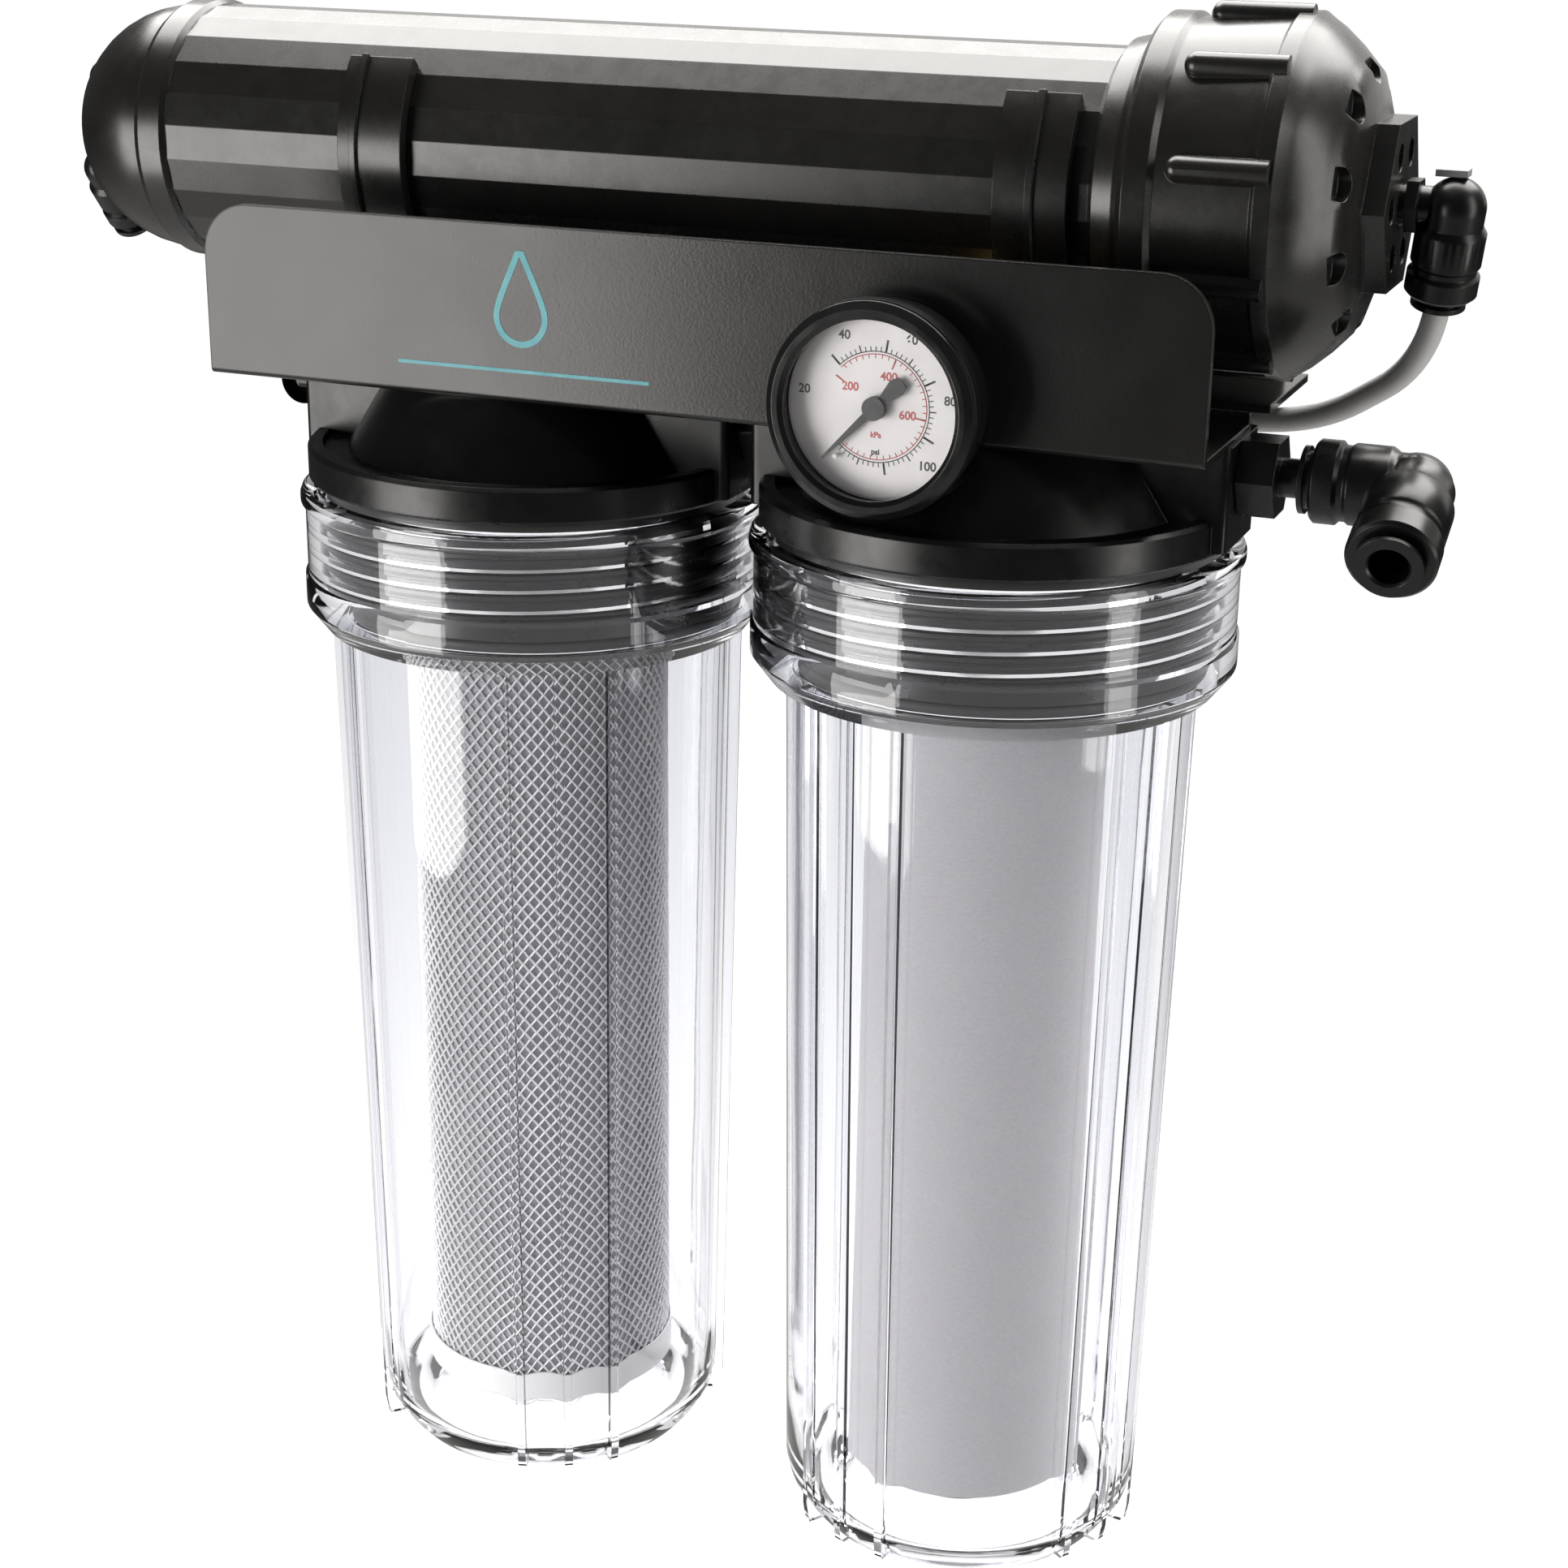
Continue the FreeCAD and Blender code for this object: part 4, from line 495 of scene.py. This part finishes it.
def panelMark():
    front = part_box("bracket")[0].y - dropMark["ink"]
    clearSelection()
    bpy.ops.mesh.primitive_circle_add(vertices=dropMark["points"], radius=dropMark["drop"], fill_type="NGON",
                                      location=(dropMark["x"], front, dropMark["z"]),
                                      rotation=(math.radians(90), 0, 0))
    drop = bpy.context.object
    bake(drop)
    top = max(v.co.z for v in drop.data.vertices)
    bpy.ops.object.mode_set(mode="EDIT")
    bpy.ops.mesh.select_all(action="DESELECT")
    bpy.ops.object.mode_set(mode="OBJECT")
    for vertex in drop.data.vertices:
        vertex.select = vertex.co.z > top - dropMark["tipBand"]
    bpy.ops.object.mode_set(mode="EDIT")
    bpy.ops.transform.translate(value=(0, 0, dropMark["tip"]), use_proportional_edit=True,
                                proportional_edit_falloff="SHARP",
                                proportional_size=dropMark["drop"] * dropMark["tipReach"])
    bpy.ops.mesh.select_all(action="SELECT")
    bpy.ops.mesh.inset(thickness=dropMark["line"])      # the middle goes, and the outline stays
    bpy.ops.mesh.delete(type="FACE")
    bpy.ops.mesh.select_all(action="SELECT")
    bpy.ops.mesh.extrude_region_move(TRANSFORM_OT_translate={"value": (0, dropMark["ink"], 0)})
    bpy.ops.mesh.select_all(action="SELECT")
    bpy.ops.mesh.normals_make_consistent(inside=False)
    bpy.ops.object.mode_set(mode="OBJECT")
    clearSelection()
    bpy.ops.mesh.primitive_cube_add(size=1, location=(dropMark["x"], front + dropMark["ink"] / 2,
                                                      dropMark["z"] - dropMark["ruleDrop"]))
    rule = bpy.context.object
    rule.scale = (dropMark["ruleLength"], dropMark["ink"], dropMark["ruleHeight"])
    bake(rule)
    return joinAll([drop, rule], "dropMark")


blueInk = printedPaint("paleBlueInk", (0.16, 0.55, 0.62), (0.22, 0.64, 0.70), 0.4, 0.55)
finish(panelMark(), "white_plastic", "bracket", material=blueInk)
print("panel printed")


# floor and studio light

studio = {"behind": 1.0, "throughClear": 0.80, "around": 0.05, "floorTone": 0.35, "floorRough": 0.9,
          "floorSize": 60, "floorGap": 0.5}


def mathNode(tree, operation, *values):
    node = tree.nodes.new("ShaderNodeMath")
    node.operation = operation
    for socket, value in zip(node.inputs, values):
        if isinstance(value, (int, float)):
            socket.default_value = value
        else:
            tree.links.new(value, socket)
    return node.outputs[0]


def seenStrength(tree, rest):
    # bright where the camera looks straight at it, paler through the clear plastic, dim in reflections
    path = tree.nodes.new("ShaderNodeLightPath")
    unbounced = mathNode(tree, "LESS_THAN", path.outputs["Diffuse Depth"], 0.5)
    through = mathNode(tree, "MULTIPLY", path.outputs["Is Transmission Ray"], unbounced)
    paler = mathNode(tree, "MULTIPLY_ADD", through, studio["throughClear"] - rest, rest)
    return mathNode(tree, "MULTIPLY_ADD", path.outputs["Is Camera Ray"], studio["behind"] - rest, paler)


lowest = cadBox[0][2]
clearSelection()
bpy.ops.mesh.primitive_plane_add(size=studio["floorSize"], location=(0, 0, lowest - studio["floorGap"]))
floor = nameIt("paleFloor")
floorPaint, floorTree, floorShader, floorPlace = newMaterial("palePaper")
floorShader.inputs["Base Color"].default_value = (studio["floorTone"],) * 3 + (1,)
floorShader.inputs["Roughness"].default_value = studio["floorRough"]
paper = noise(floorTree, floorPlace, scale=3)
floorTree.links.new(colourRamp(floorTree, paper, [(0.3, (0.99, 0.99, 0.99)), (0.7, (1.0, 1.0, 1.0))]),
                    floorShader.inputs["Emission Color"])
floorTree.links.new(seenStrength(floorTree, 0.0), floorShader.inputs["Emission Strength"])
floor.data.materials.append(floorPaint)

softBoxes = {
    "topLight": {"place": (-0.05, 0.45, 0.95), "aim": (0, -0.05, 0.0), "size": (2.0, 1.1), "power": 58},
    "backLight": {"place": (0.0, 1.3, 0.35), "aim": (0, 0, 0.05), "size": (2.4, 0.8), "power": 5},
    "leftLight": {"place": (-0.93, -1.15, -0.28), "aim": (-0.1, -0.1, -0.12), "size": (0.86, 0.85),
                  "power": 14.5},
    "rightLight": {"place": (1.25, -0.3, 0.1), "aim": (0.1, -0.1, -0.1), "size": (0.35, 1.4), "power": 6},
}
warmWhite = (1.0, 0.98, 0.955)

for name, box in softBoxes.items():
    clearSelection()
    bpy.ops.object.light_add(type="AREA", location=box["place"])
    lamp = nameIt(name)
    lamp.data.shape = "RECTANGLE"
    lamp.data.size, lamp.data.size_y = box["size"]
    lamp.data.energy = box["power"]
    lamp.data.color = warmWhite
    toward = Vector(box["aim"]) - Vector(box["place"])
    lamp.rotation_euler = toward.to_track_quat("-Z", "Y").to_euler()

world = bpy.context.scene.world or bpy.data.worlds.new("studio")
bpy.context.scene.world = world
world.use_nodes = True
sky = world.node_tree.nodes["Background"]
sky.inputs["Color"].default_value = (1, 1, 1, 1)
world.node_tree.links.new(seenStrength(world.node_tree, studio["around"]), sky.inputs["Strength"])
bpy.context.scene.view_settings.view_transform = "Standard"
print("studio lit")
